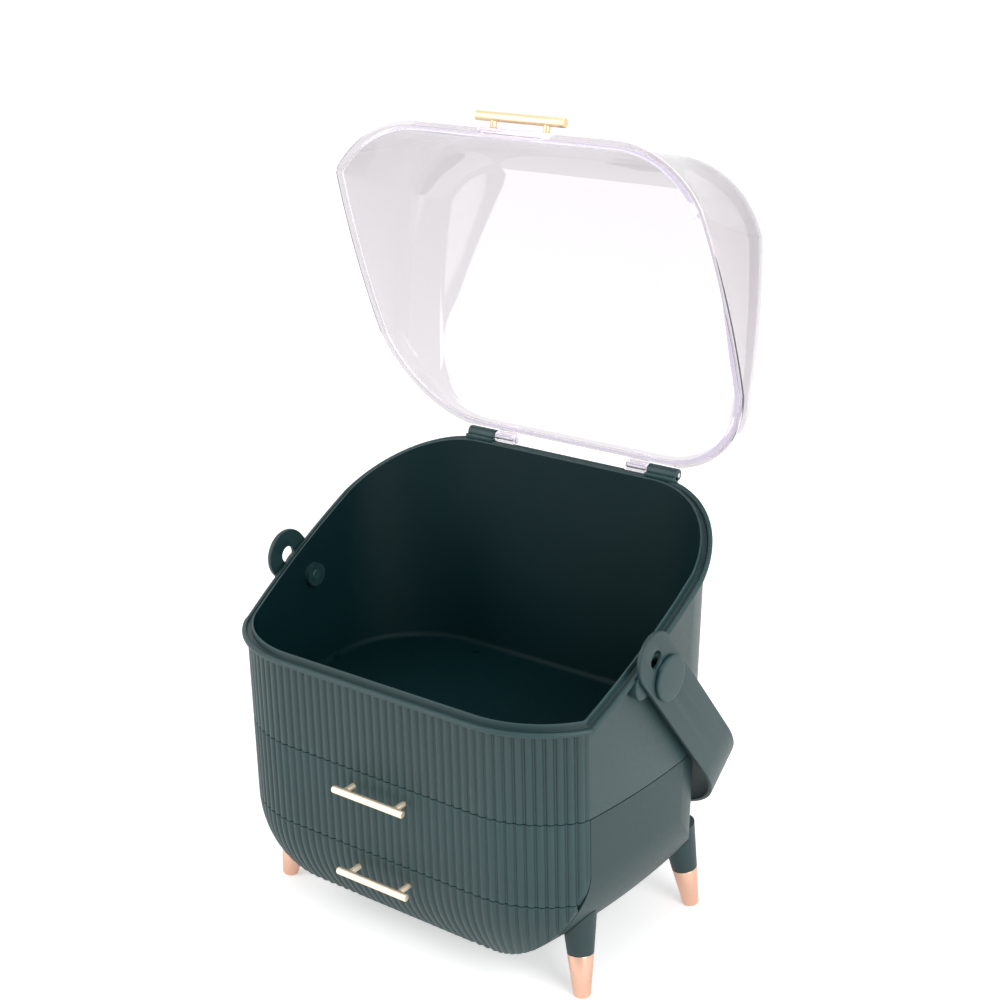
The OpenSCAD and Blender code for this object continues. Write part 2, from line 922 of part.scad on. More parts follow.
module lid_shut() {
  difference() {
    union() {
      intersection() {
        lid_form(0);
        over_rim(near);
      }
      intersection() {
        upper_form(-lid_flange_out, rim_z - 20);
        rim_band(near, near + lid_flange_h);
        translate([-big, -big, 0])
          cube([2 * big, big + hinge_y - knuckle_r - 1.3, top_z]);
      }
      translate([-lid_pad_w / 2, -front_depth - lid_flange_out, rim_z + near])
        cube([lid_pad_w, lid_flange_out + 2, lid_bar_z - rim_z + 4]);
      for (s = [-1, 1]) {
        hinge_cylinder(s, knuckle_x - 0.5 - lug_len, lug_len, lug_r);
        translate([s * (knuckle_x - 0.5 - lug_len / 2) - lug_len / 2, rear_depth - 1, hinge_z - 0.7])
          cube([lug_len, hinge_y - rear_depth + 1, 4]);
      }
    }
    intersection() {
      lid_form(lid_wall);
      slab(0, lid_top_z - lid_wall);
    }
    for (s = [-1, 1])
      hinge_cylinder(s, knuckle_x - 2 - lug_len, lug_len + 4, hinge_pin_d / 2 + fit);
  }
}

module lid_shell() {
  color(colour_clear)
    lid_turn()
      lid_shut();
}

module lid_bar() {
  color(colour_gold)
    lid_turn()
      pull_bar(lid_bar_y, lid_bar_z, lid_bar_d, lid_bar_len);
}

module lid_bar_posts() {
  y0 = -front_depth - lid_flange_out;
  color(colour_gold)
    lid_turn()
      difference() {
        for (s = [-1, 1])
          translate([s * lid_post_gap / 2, y0, lid_bar_z])
            rotate([90, 0, 0])
              cylinder(d = lid_post_d, h = y0 - lid_bar_y, $fn = 32);
        pull_bar(lid_bar_y, lid_bar_z, lid_bar_d, lid_bar_len);
      }
}

module hinge_pin(s) {
  color(colour_steel)
    hinge_cylinder(s, knuckle_x - lug_len - 1.5, knuckle_len + lug_len + 2, hinge_pin_d / 2, $fn = 32);
}

module hinge_pin_left() {
  hinge_pin(-1);
}

module hinge_pin_right() {
  hinge_pin(1);
}

module strap_arm(s) {
  x0 = s > 0 ? arm_x : -arm_x - strap_t;
  translate([x0, -arm_fore, -strap_w / 2])
    cube([strap_t, arm_fore + arm_len, strap_w]);
  translate([x0, -arm_fore, 0])
    rotate([0, 90, 0])
      cylinder(d = strap_w, h = strap_t);
}

module strap_bend(s) {
  translate([s * bend_x, arm_len, -strap_w / 2])
    rotate([0, 0, s > 0 ? 0 : 90])
      rotate_extrude(angle = 90)
        translate([bend_r, 0])
          square([strap_t, strap_w]);
}

module carry_handle() {
  color(colour_body)
    translate([0, pivot_y, pivot_z])
      rotate([-handle_rest, 0, 0])
        difference() {
          union() {
            for (s = [-1, 1]) {
              strap_arm(s);
              strap_bend(s);
            }
            translate([-bend_x, arm_len + bend_r, -strap_w / 2])
              cube([2 * bend_x, strap_t, strap_w]);
          }
          for (s = [-1, 1]) {
            translate([s * (arm_x - 5), 0, 0])
              rotate([0, s * 90, 0])
                cylinder(d = stud_d + 2 * fit, h = strap_t + 10);
            translate([s * (arm_x - 5), -arm_fore, 0])
              rotate([0, s * 90, 0])
                cylinder(d = arm_hole_d, h = strap_t + 10);
          }
        }
}

module handle_stud(s) {
  color(colour_body) {
    side_cylinder(s, arm_x + strap_t + near, arm_x + strap_t + near + stud_head_t, stud_head_d);
    side_cylinder(s, wall_x - bin_wall - nut_t - 0.5, arm_x + strap_t + near, stud_d);
  }
}

module handle_stud_left() {
  handle_stud(-1);
}

module handle_stud_right() {
  handle_stud(1);
}

module stud_nut(s) {
  color(colour_dark)
    difference() {
      side_cylinder(s, wall_x - bin_wall - nut_t - near, wall_x - bin_wall - near, nut_d);
      side_cylinder(s, wall_x - bin_wall - nut_t - 1, wall_x, stud_d + 2 * fit);
    }
}

module stud_nut_left() {
  stud_nut(-1);
}

module stud_nut_right() {
  stud_nut(1);
}

module spacer(s) {
  color(colour_body)
    difference() {
      side_cylinder(s, wall_x + near, arm_x - near, spacer_d);
      side_cylinder(s, wall_x - 1, arm_x + 1, stud_d + 2 * fit);
    }
}

module spacer_left() {
  spacer(-1);
}

module spacer_right() {
  spacer(1);
}

module leg_place(s, t) {
  translate([s * foot_x, t < 0 ? foot_front_y : foot_y, 0])
    rotate([0, 0, atan2(-t, -s)])
      rotate([0, tilt, 0])
        children();
}

module leg_cone(lo, hi) {
  translate([0, 0, lo])
    cylinder(d1 = foot_d + leg_grow * lo, d2 = foot_d + leg_grow * hi, h = hi - lo);
}

module leg_tip(s, t) {
  color(colour_rose)
    difference() {
      leg_place(s, t)
        leg_cone(-6, tip_h);
      slab(-20, 0);
      leg_place(s, t)
        translate([0, 0, tip_h - spigot_h - near])
          cylinder(d = spigot_d + 2 * fit, h = spigot_h + 5);
    }
}

module leg(s, t) {
  color(colour_dark)
    difference() {
      leg_place(s, t) {
        leg_cone(tip_h, leg_len);
        translate([0, 0, tip_h - spigot_h])
          cylinder(d = spigot_d, h = spigot_h + 1);
      }
      body_form(-near);
      leg_place(s, t)
        translate([0, 0, tip_h + 2])
          cylinder(d = screw_d + 2 * fit, h = leg_len);
    }
}

module leg_front_left() {
  leg(-1, -1);
}

module leg_front_right() {
  leg(1, -1);
}

module leg_rear_left() {
  leg(-1, 1);
}

module leg_rear_right() {
  leg(1, 1);
}

module leg_tip_front_left() {
  leg_tip(-1, -1);
}

module leg_tip_front_right() {
  leg_tip(1, -1);
}

module leg_tip_rear_left() {
  leg_tip(-1, 1);
}

module leg_tip_rear_right() {
  leg_tip(1, 1);
}

module leg_screws() {
  color(colour_steel)
    for (s = [-1, 1])
      for (t = [-1, 1])
        leg_place(s, t)
          translate([0, 0, leg_screw_z])
            rotate([180, 0, 0])
              screw(leg_screw_len);
}

module placed() {
  translate([0, shift_y, 0])
    children();
}

placed() bin();
placed() casing();
placed() drawer_shelf();
placed() bin_screws();
placed() upper_drawer_tray();
placed() upper_drawer_front();
placed() upper_drawer_bar();
placed() upper_bar_posts();
placed() upper_bar_screws();
placed() lower_drawer_tray();
placed() lower_drawer_front();
placed() lower_drawer_bar();
placed() lower_bar_posts();
placed() lower_bar_screws();
placed() lid_shell();
placed() lid_bar();
placed() lid_bar_posts();
placed() hinge_pin_left();
placed() hinge_pin_right();
placed() carry_handle();
placed() handle_stud_left();
placed() handle_stud_right();
placed() stud_nut_left();
placed() stud_nut_right();
placed() spacer_left();
placed() spacer_right();
placed() leg_front_left();
placed() leg_front_right();
placed() leg_rear_left();
placed() leg_rear_right();
placed() leg_tip_front_left();
placed() leg_tip_front_right();
placed() leg_tip_rear_left();
placed() leg_tip_rear_right();
placed() leg_screws();
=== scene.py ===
import math

import bmesh
import bpy
import numpy as np
from bpy.props import FloatProperty, FloatVectorProperty, IntProperty, PointerProperty
from mathutils import Matrix, Vector


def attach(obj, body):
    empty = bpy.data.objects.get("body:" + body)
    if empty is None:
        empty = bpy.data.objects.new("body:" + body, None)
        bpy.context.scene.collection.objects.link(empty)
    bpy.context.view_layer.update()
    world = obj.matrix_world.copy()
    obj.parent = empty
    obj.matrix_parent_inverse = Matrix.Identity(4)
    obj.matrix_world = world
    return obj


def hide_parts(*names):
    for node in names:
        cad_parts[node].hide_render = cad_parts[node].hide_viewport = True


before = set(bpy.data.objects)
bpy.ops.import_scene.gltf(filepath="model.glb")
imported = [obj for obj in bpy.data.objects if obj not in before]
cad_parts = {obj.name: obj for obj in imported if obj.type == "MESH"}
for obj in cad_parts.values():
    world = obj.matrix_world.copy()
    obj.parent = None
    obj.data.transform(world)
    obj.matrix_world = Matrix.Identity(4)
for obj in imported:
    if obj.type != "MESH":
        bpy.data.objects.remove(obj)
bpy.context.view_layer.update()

bl_info = {
    "name": "Makeup organizer",
    "version": (1, 0, 0),
    "blender": (4, 5, 0),
    "location": "3D View > Sidebar > Organizer",
    "description": "Builds the ribbed makeup organizer with its clear lid, drawers and carry handle",
    "category": "Object",
}


def size(name, millimetres, text):
    """A length property, given in millimetres and kept in metres."""
    return FloatProperty(
        name=name, description=text, default=millimetres / 1000, unit="LENGTH", subtype="DISTANCE", precision=5
    )


def angle(name, degrees, text):
    """An angle property, given in degrees."""
    return FloatProperty(
        name=name, description=text, default=math.radians(degrees), unit="ROTATION", subtype="ANGLE"
    )


def count(name, number, text):
    """A whole number property."""
    return IntProperty(name=name, description=text, default=number, min=0)


def share(name, value, text):
    """A plain factor property."""
    return FloatProperty(name=name, description=text, default=value, subtype="FACTOR", min=0.0, max=1.0)


def colour(name, rgb, text):
    """A colour property, given as it shows on screen from 0 to 255 and kept linear."""
    linear = [((c / 255 + 0.055) / 1.055) ** 2.4 if c > 10 else c / 255 / 12.92 for c in rgb]
    return FloatVectorProperty(
        name=name, description=text, default=linear, size=3, subtype="COLOR", min=0.0, max=1.0
    )


class BodySizes(bpy.types.PropertyGroup):
    """Plan and side curves of the moulded body"""

    width: size("Width", 280, "Greatest width across the bowed side walls")
    front_depth: size("Front depth", 103, "Reach of the flat front ahead of the middle line")
    rear_depth: size("Rear depth", 96, "Reach of the rear wall behind the middle line")
    front_flat: size("Front flat", 149, "Width of the flat middle of the front")
    front_corner_r: size("Front corner radius", 71.3, "Plan radius of the two front corners")
    side_bow_r: size("Side bow radius", 530, "Plan radius of the bowed side walls")
    side_bow_y: size("Widest place", 8, "Distance behind the middle line at which the body is widest")
    rear_corner_r: size("Rear corner radius", 70, "Plan radius of the two rear corners")
    rear_spread: size("Rear spread", 0.3, "Half width of the rear beyond half the body width")
    rear_ref_z: size("Rear reference height", 275, "Height at which the rear depth is measured")
    rear_lean: angle("Rear lean", 4.2, "Forward lean of the rear wall towards its foot")
    bottom_z: size("Bottom height", 13, "Height of the lowest point of the body")
    side_curve_r: size("Side curve radius", 67, "Radius of the rounded lower sides")
    side_curve_z: size("Side curve height", 92, "Height at which the rounded lower sides begin")
    front_curve_r: size("Front curve radius", 75, "Radius with which the lower front rolls under")
    drawer_seam_z: size("Drawer seam height", 74, "Height of the seam between the two drawers")
    seam_z: size("Upper seam height", 129.5, "Height of the seam between the casing and the bin")
    seam_gap: size("Seam gap", 0.4, "Gap along the visible seams")
    edge_r: size("Front edge rounding", 0.8, "Length of the rounding of the edge between front and side")
    middle_y: size("Middle line", -7.818, "Place of the middle line of the body in the frame")


class RibSizes(bpy.types.PropertyGroup):
    """Rounded ribs of the front"""

    pitch: size("Pitch", 6.1, "Distance from rib to rib")
    radius: size("Radius", 3.3, "Radius of one rounded rib")
    rise: size("Rise", 1.2, "Height of a rib above the face")
    flat: count("Flat ribs", 12, "Ribs on each side of the middle rib")
    corner: count("Corner ribs", 11, "Ribs on each rounded corner")


class RimSizes(bpy.types.PropertyGroup):
    """Rim and floor of the bin"""

    rim_z: size("Rim height", 190.5, "Height of the front rim")
    slope: angle("Rim slope", 27.5, "Rise of the side rims towards the rear")
    floor_z: size("Floor height", 132, "Height of the floor of the bin")
    wall: size("Wall", 3.4, "Wall of the bin")
    flange_out: size("Flange reach", 4.5, "Reach of the outer rim flange")
    flange_h: size("Flange height", 3, "Height of the outer rim flange")
    flange_edge: size("Flange edge", 2.9, "Width of the top of the flange outside the groove")
    lip_t: size("Lip thickness", 1.4, "Thickness of the inner lip")
    lip_h: size("Lip height", 3, "Height of the inner lip above the rim")
    groove_d: size("Groove depth", 1.5, "Depth of the groove between lip and flange")


class DrawerSizes(bpy.types.PropertyGroup):
    """Drawer fronts and their pull bars"""

    front_t: size("Front thickness", 2.8, "Thickness of the ribbed drawer fronts")
    bar_d: size("Bar diameter", 4.8, "Diameter of the drawer bars")
    bar_len: size("Bar length", 56, "Length of the drawer bars")
    bar_reach: size("Bar reach", 11, "Distance from the flat front to the middle of a bar")
    upper_bar_z: size("Upper bar height", 118.7, "Height of the upper bar")
    lower_bar_z: size("Lower bar height", 60.9, "Height of the lower bar")
    post_gap: size("Post distance", 40, "Distance between the posts of a bar")
    post_d: size("Post diameter", 3.6, "Diameter of the posts of a bar")


class LidSizes(bpy.types.PropertyGroup):
    """Clear lid, its bar and its hinge"""

    open_angle: angle("Open angle", 98, "Angle to which the lid stands open at rest")
    top_z: size("Top height", 285, "Height of the flat lid top when shut")
    wall: size("Wall", 2, "Wall of the clear lid")
    clear: size("Clearance", 0.3, "Gap between the lid and the rim")
    out: size("Overhang", 0.6, "Reach of the lid wall beyond the body")
    front_draft: size("Front draft", 5.5, "Inward lean of the lid front over its height")
    edge_r: size("Edge radius", 25, "Radius of the upper front and side edges")
    rear_r: size("Rear edge radius", 6, "Radius of the upper rear edge")
    flange_out: size("Flange reach", 4, "Reach of the lid flange beyond the body")
    flange_h: size("Flange height", 3, "Height of the lid flange")
    hinge_y: size("Hinge depth", 103.5, "Distance of the hinge axis behind the middle line")
    knuckle_r: size("Knuckle radius", 4, "Radius of the knuckles on the bin")
    knuckle_x: size("Knuckle place", 62, "Distance from the middle to the inner end of a knuckle")
    knuckle_len: size("Knuckle length", 22, "Length of a knuckle")
    lug_r: size("Lug radius", 3.6, "Radius of the lugs on the lid")
    lug_len: size("Lug length", 16, "Length of a lid lug")
    pin_d: size("Pin diameter", 3, "Diameter of the hinge pins")
    bar_d: size("Bar diameter", 6, "Diameter of the lid bar")
    bar_len: size("Bar length", 67, "Length of the lid bar")
    bar_ahead: size("Bar reach", 10.5, "Distance from the flat front to the middle of the lid bar")
    bar_above: size("Bar height", 11, "Height of the lid bar above the rim")
    post_gap: size("Post distance", 40, "Distance between the posts of the lid bar")
    post_d: size("Post diameter", 4.4, "Diameter of the posts of the lid bar")
    pad_w: size("Pad width", 50, "Width of the pad under the posts")


class HandleSizes(bpy.types.PropertyGroup):
    """Carry handle and its studs"""

    pivot_y: size("Pivot depth", -8.3, "Distance of the pivot behind the middle line")
    pivot_z: size("Pivot height", 200.7, "Height of the pivot")
    rest: angle("Rest angle", 51.7, "Angle of the lowered handle below the horizontal")
    strap_w: size("Strap width", 34.4, "Width of the strap")
    strap_t: size("Strap thickness", 3, "Thickness of the strap")
    arm_gap: size("Arm gap", 0.5, "Gap between the rim flange and the arms")
    arm_fore: size("Arm end", 20.7, "Length of the strap ahead of the pivot")
    arm_len: size("Arm length", 92.8, "Straight length of an arm behind the pivot")
    bend_r: size("Bend radius", 73.8, "Inner radius of the bends")
    hole_d: size("Hole diameter", 11, "Diameter of the hole in the end of an arm")
    stud_d: size("Shank diameter", 8, "Diameter of the stud shanks")
    head_d: size("Head diameter", 29, "Diameter of the stud heads")
    head_t: size("Head thickness", 2.6, "Thickness of the stud heads")
    edge_r: size("Edge radius", 0.7, "Rounding of the edges of the strap")


class LegSizes(bpy.types.PropertyGroup):
    """Splayed legs with metal tips"""

    foot_x: size("Foot place", 122.4, "Distance of a foot to the side of the middle")
    foot_y: size("Foot depth", 63, "Distance of a foot ahead of or behind the middle line")
    splay: size("Splay", 3.4, "Outward splay of a leg over its tip")
    tip_h: size("Tip height", 28.5, "Height of a metal tip along the leg")
    foot_d: size("Foot diameter", 11, "Diameter of a leg at the floor")
    joint_d: size("Joint diameter", 16.8, "Diameter of a leg at the upper end of its tip")


class Finishes(bpy.types.PropertyGroup):
    """Colours and gloss of the finishes"""

    green: colour("Green", (24, 54, 56), "Matt green of the body")
    green_deep: colour("Deep green", (22, 50, 52), "Green of the casing, the legs and the trays")
    # Painted shade: the inside of the bin is the same plastic as the outside, given a much darker green that stands
    # in for the shade in its deep hollow.
    green_inner: colour("Inner green", (3, 31, 34), "Green of the inside of the bin")
    gold: colour("Pale gold", (253, 236, 212), "Pale gold of the drawer bars")
    lid_gold: colour("Lid gold", (250, 222, 178), "Gold of the lid bar")
    rose: colour("Rose gold", (222, 178, 156), "Rose gold of the leg tips")
    steel: colour("Steel", (196, 198, 202), "Steel of screws and pins")
    clear: colour("Clear tint", (216, 212, 215), "Tint of the clear lid")
    # Painted glow: an emission on the clear lid that stands in for light caught inside its walls.
    caught_light_glow: colour("Caught light glow", (206, 200, 216), "Colour of light caught inside the walls of the clear lid")
    body_roughness: share("Body roughness", 0.46, "Roughness of the matt green")
    inner_roughness: share("Inner roughness", 0.55, "Roughness of the inside of the bin")
    bar_roughness: share("Bar roughness", 0.45, "Roughness of the bars")
    glow_start: count("Glow start", 3, "Crossings of the clear plastic after which light begins to count as caught")
    glow_full: count("Glow full", 7, "Crossings of the clear plastic after which all light counts as caught")


class StudioSettings(bpy.types.PropertyGroup):
    """Camera, lamps and floor"""

    lens: FloatProperty(name="Lens", description="Focal length of the camera", default=66.24, unit="CAMERA")
    place: FloatVectorProperty(
        name="Camera place", description="Place of the camera", default=(0.671, -0.8498, 0.678), size=3,
        unit="LENGTH", subtype="TRANSLATION",
    )
    right: FloatVectorProperty(
        name="Camera right", description="Sideways direction of the camera",
        default=(0.7960, 0.6048, -0.0236), size=3, subtype="DIRECTION",
    )
    up: FloatVectorProperty(
        name="Camera up", description="Upward direction of the camera",
        default=(-0.1929, 0.2903, 0.9373), size=3, subtype="DIRECTION",
    )
    sky: share("Sky light", 0.62, "Strength of the soft light from all round")
    floor: colour("Floor", (244, 244, 244), "Colour of the floor")
    floor_lift: share("Floor lift", 0.46, "Glow that keeps the seen floor white")


# Each soft lamp with its place, the point that it faces, its width and height, all in metres, and its power in watts
LAMPS = [
    ("Left lamp", (-1.25, -1.35, 1.45), (0, 0, 0.12), (1.2, 1.2), 12),
    ("Right lamp", (1.6, -0.5, 1.0), (0, 0, 0.15), (1.0, 1.3), 20),
    ("Top lamp", (0.1, 0.3, 1.9), (0, 0, 0.1), (1.4, 1.0), 6),
    ("Panel lamp", (-0.95, -1.3, 0.42), (0, 0.12, 0.4), (0.5, 0.55), 3),
]

GROUPS = {
    "body": BodySizes,
    "ribs": RibSizes,
    "rim": RimSizes,
    "drawers": DrawerSizes,
    "lid": LidSizes,
    "handle": HandleSizes,
    "legs": LegSizes,
    "finishes": Finishes,
    "studio": StudioSettings,
}


class Sizes:
    """One property group, read in millimetres and radians."""

    def __init__(self, key):
        group = getattr(bpy.context.scene, "organizer_" + key)
        for name, rule in group.bl_rna.properties.items():
            if name in ("rna_type", "name"):
                continue
            value = getattr(group, name)
            setattr(self, name, value * 1000 if rule.unit == "LENGTH" and rule.subtype == "DISTANCE" else value)


class Stations:
    """Places round one half of the outline, from the middle of the front to the middle of the rear.

    The kinds are 0 a fixed length along the front, 1 a share of what is left of the front,
    2 the rounded edge, 3 the side, 4 the rear corner and 5 a fixed place on the rear.
    """

    def __init__(self, front, spare, edge, side, corner, rear):
        steps = [
            [(0, s) for s in front],
            [(1, (i + 1) / spare) for i in range(spare)],
            [(2, (i + 1) / edge) for i in range(edge)],
            [(3, (i + 1) / side) for i in range(side)],
            [(4, (i + 1) / corner) for i in range(corner)],
            [(5, x) for x in rear],
        ]
        flat = [pair for group in steps for pair in group]
        self.kind = np.array([k for k, _ in flat])
        self.t = np.array([t for _, t in flat], float)
        self.front_len = len(front)
        self.last = front[-1]

    def front_only(self):
        """The same places as far as the edge between front and side."""
        short = object.__new__(Stations)
        keep = self.kind <= 2
        short.kind, short.t = self.kind[keep], self.t[keep]
        short.front_len, short.last = self.front_len, self.last
        return short


class Plan:
    """The outline of the body and of the lid at any height."""

    def __init__(self):
        self.b, self.k, self.r = Sizes("body"), Sizes("ribs"), Sizes("rim")
        self.l = Sizes("lid")
        b = self.b
        self.front_x = b.front_flat / 2
        self.corner_y = b.front_corner_r - b.front_depth
        self.bow_x = b.width / 2 - b.side_bow_r
        self.kink_x, self.kink_y = self.meet(b.front_corner_r, b.side_bow_r)
        curve_x = self.kink_x - b.side_curve_r
        drop = b.side_curve_z - b.bottom_z
        self.belly_r = (curve_x**2 + drop**2 - b.side_curve_r**2) / (2 * (drop - b.side_curve_r))
        self.rear_x = b.width / 2 + b.rear_spread - b.rear_corner_r
        self.hinge_z = self.r.rim_z + (self.l.hinge_y - self.kink_y) * math.tan(self.r.slope)

    def meet(self, r_front, r_side):
        """Where the front corner arc meets the bowed side."""
        dx, dy = self.front_x - self.bow_x, self.corner_y - self.b.side_bow_y
        d = math.hypot(dx, dy)
        a = (r_side**2 - r_front**2 + d * d) / (2 * d)
        h = np.sqrt(r_side**2 - a**2)
        return self.bow_x + (a * dx + h * dy) / d, self.b.side_bow_y + (a * dy - h * dx) / d

    def rear_meet(self, r_side, r_rear, rear_y):
        """Where the bowed side meets the rear corner arc."""
        dx, dy = self.rear_x - self.bow_x, rear_y - self.b.side_bow_y
        d = np.hypot(dx, dy)
        a = (r_side**2 - r_rear**2 + d * d) / (2 * d)
        h = np.sqrt(np.maximum(0, r_side**2 - a**2))
        return self.bow_x + (a * dx - h * dy) / d, self.b.side_bow_y + (a * dy + h * dx) / d

    def relief(self, s, shrink=1.0):
        """Height of the ribs above the face, at a length s along the front."""
        k = self.k
        nearest = np.clip(np.round(s / k.pitch), -k.flat - k.corner, k.flat + k.corner)
        aside = np.abs(s - nearest * k.pitch) * shrink
        return np.maximum(0, np.sqrt(np.maximum(0, k.radius**2 - aside**2)) - k.radius + k.rise)

    def outline(self, st, r_front, r_side, r_rear, rear_y, ribs=0.0):
        """Right half of an outline made of five arcs and lines, one point for each station."""
        n = len(st.kind)
        rf, rs, rr, cy = (np.broadcast_to(np.asarray(v, float), n) for v in (r_front, r_side, r_rear, rear_y))
        b, fx = self.b, self.front_x
        kx, ky = self.meet(rf, rs)
        edge_a = np.arctan2(kx - fx, self.corner_y - ky)
        lift = ribs * self.relief(fx + edge_a * b.front_corner_r)
        kx, ky = self.meet(rf + lift, rs)
        edge_a = np.arctan2(kx - fx, self.corner_y - ky) - b.edge_r / rf
        edge_s = fx + edge_a * b.front_corner_r

        def on_front(s):
            h = rf + ribs * self.relief(s)
            a = np.maximum(0, s - fx) / b.front_corner_r
            return np.minimum(s, fx) + h * np.sin(a), self.corner_y - h * np.cos(a)

        out = np.zeros((n, 2))
        kind, t = st.kind, st.t
        start = np.minimum(st.last, edge_s)
        s = np.where(kind == 0, np.minimum(t, edge_s), start + t * (edge_s - start))
        x, y = on_front(s)
        front = kind <= 1
        out[front] = np.column_stack([x, y])[front]
        ax, ay = on_front(edge_s)
        side_a = np.arctan2(ky - b.side_bow_y, kx - self.bow_x) + b.edge_r / rs
        ex, ey = self.bow_x + rs * np.cos(side_a), b.side_bow_y + rs * np.sin(side_a)
        w0, w1, w2 = (1 - t) ** 2, 2 * t * (1 - t), t * t
        edge = kind == 2
        out[edge] = np.column_stack([w0 * ax + w1 * kx + w2 * ex, w0 * ay + w1 * ky + w2 * ey])[edge]
        mx, my = self.rear_meet(rs, rr, cy)
        end_a = np.arctan2(my - b.side_bow_y, mx - self.bow_x)
        a = side_a + t * (end_a - side_a)
        side = kind == 3
        out[side] = np.column_stack([self.bow_x + rs * np.cos(a), b.side_bow_y + rs * np.sin(a)])[side]
        c0 = np.arctan2(my - cy, mx - self.rear_x)
        c = c0 + t * (math.pi / 2 - c0)
        corner = kind == 4
        out[corner] = np.column_stack([self.rear_x + rr * np.cos(c), cy + rr * np.sin(c)])[corner]
        rear = kind == 5
        out[rear] = np.column_stack([t, cy + rr])[rear]
        return out

    def step_in(self, z, z0, r):
        """Inward step of a curve of radius r that starts at height z0."""
        return r - np.sqrt(np.maximum(0, r * r - np.maximum(0, z0 - z) ** 2))

    def body_row(self, st, out, z, ribs=0.0):
        """Right half of the body's outline, set outwards by out, at height z."""
        b = self.b
        z = np.broadcast_to(np.asarray(z, float), len(st.kind))
        xy = self.outline(
            st,
            b.front_corner_r - self.step_in(z, b.drawer_seam_z, b.front_curve_r) + out,
            b.side_bow_r - self.step_in(z, b.side_curve_z, b.side_curve_r) + out,
            b.rear_corner_r + out,
            b.rear_depth - b.rear_corner_r - (b.rear_ref_z - z) * math.tan(b.rear_lean),
            ribs,
        )
        return np.column_stack([xy, z])

    def rim_at(self, y):
        """Height of the bent rim at a given depth."""
        return self.r.rim_z + np.maximum(0, y - self.kink_y) * math.tan(self.r.slope)

    def rim_row(self, st, out, above, ribs=0.0):
        """Right half of an outline that lies above the bent rim."""
        z = np.full(len(st.kind), self.r.rim_z)
        for _ in range(4):
            row = self.body_row(st, out, z, ribs)
            z = self.rim_at(row[:, 1]) + above
        return np.column_stack([row[:, :2], z])

    def lid_radii(self, inset, z):
        """Plan radii of the front, side and rear of the lid at height z."""
        b, l = self.b, self.l

        def rounded(r):
            start = l.top_z - r
            return r - np.sqrt(np.maximum(0, (r - inset) ** 2 - np.maximum(0, z - start) ** 2)) - inset

        lean = np.clip((z - self.r.rim_z) / (l.top_z - l.edge_r - self.r.rim_z), 0, 1) * l.front_draft
        front = b.front_corner_r + l.out - inset - lean - rounded(l.edge_r)
        side = b.side_bow_r + l.out - inset - rounded(l.edge_r)
        rear = b.rear_corner_r + l.out - inset - rounded(l.rear_r)
        return front, side, rear

    def lid_row(self, st, inset, z):
        """Right half of the lid's outline at height z."""
        z = np.broadcast_to(np.asarray(z, float), len(st.kind))
        front, side, rear = self.lid_radii(inset, z)
        xy = self.outline(st, front, side, rear, self.b.rear_depth - self.b.rear_corner_r)
        return np.column_stack([xy, z])

    def lid_low_row(self, st, inset, above):
        """Right half of the lid's outline just above the rim."""
        z = np.full(len(st.kind), self.r.rim_z)
        for _ in range(4):
            row = self.lid_row(st, inset, z)
            z = self.rim_at(row[:, 1]) + above
        return np.column_stack([row[:, :2], z])

    def low_form(self, p):
        """Signed distance of points to the rounded sides and the belly, negative inside."""
        b = self.b
        x, y, z = np.abs(p[..., 0]), p[..., 1], p[..., 2]
        rho = np.hypot(x - self.bow_x, y - b.side_bow_y) - (b.side_bow_r - b.side_curve_r)
        round_side = np.hypot(np.maximum(rho, 0), np.maximum(b.side_curve_z - z, 0)) - b.side_curve_r
        side = np.where(z >= b.side_curve_z, rho - b.side_curve_r, round_side)
        belly = np.hypot(x, z - b.bottom_z - self.belly_r) - self.belly_r
        return np.maximum(side, belly)


def around(half):
    """A whole closed outline from its right half."""
    return np.vstack([half, half[-2:0:-1] * [-1, 1, 1]])


def across(half):
    """A whole open outline from its right half."""
    return np.vstack([half[:0:-1] * [-1, 1, 1], half])


def skin(rows, closed=True, wrap=False, caps=False, start=None, end=None):
    """Points and faces of a surface through rows of points.

    closed joins the ends of each row, wrap joins the last row to the first, caps fills the two
    open ends, and start and end are points that the first and last row run together in.
    """
    rows = np.asarray(rows, float)
    count_r, count_c = rows.shape[:2]
    points = list(rows.reshape(-1, 3))
    faces = []
    for i in range(count_r if wrap else count_r - 1):
        i2 = (i + 1) % count_r
        for j in range(count_c if closed else count_c - 1):
            j2 = (j + 1) % count_c
            faces.append((i * count_c + j, i * count_c + j2, i2 * count_c + j2, i2 * count_c + j))
    if caps:
        faces.append([i * count_c for i in range(count_r)])
        faces.append([i * count_c + count_c - 1 for i in reversed(range(count_r))])
    for point, i, turn in ((start, 0, 1), (end, count_r - 1, 0)):
        if point is None:
            continue
        points.append(np.asarray(point, float))
        middle = len(points) - 1
        for j in range(count_c):
            a, c = i * count_c + j, i * count_c + (j + 1) % count_c
            faces.append((middle, c, a) if turn else (middle, a, c))
    return np.array(points), faces


def lathe(profile, matrix, segments=64):
    """A turned solid: profile is (radius, height) pairs from the lower middle to the upper middle."""
    turns = np.linspace(0, 2 * math.pi, segments, endpoint=False)
    inner = [p for p in profile if p[0] > 0]
    rows = [[(r * math.cos(a), r * math.sin(a), h) for a in turns] for r, h in inner]
    start = (0, 0, profile[0][1]) if profile[0][0] == 0 else None
    end = (0, 0, profile[-1][1]) if profile[-1][0] == 0 else None
    points, faces = skin(rows, start=start, end=end, wrap=start is None and end is None)
    return moved(points, matrix), faces


def moved(points, matrix):
    """Points after a 4x4 matrix."""
    m = np.array(matrix)
    return points @ m[:3, :3].T + m[:3, 3]


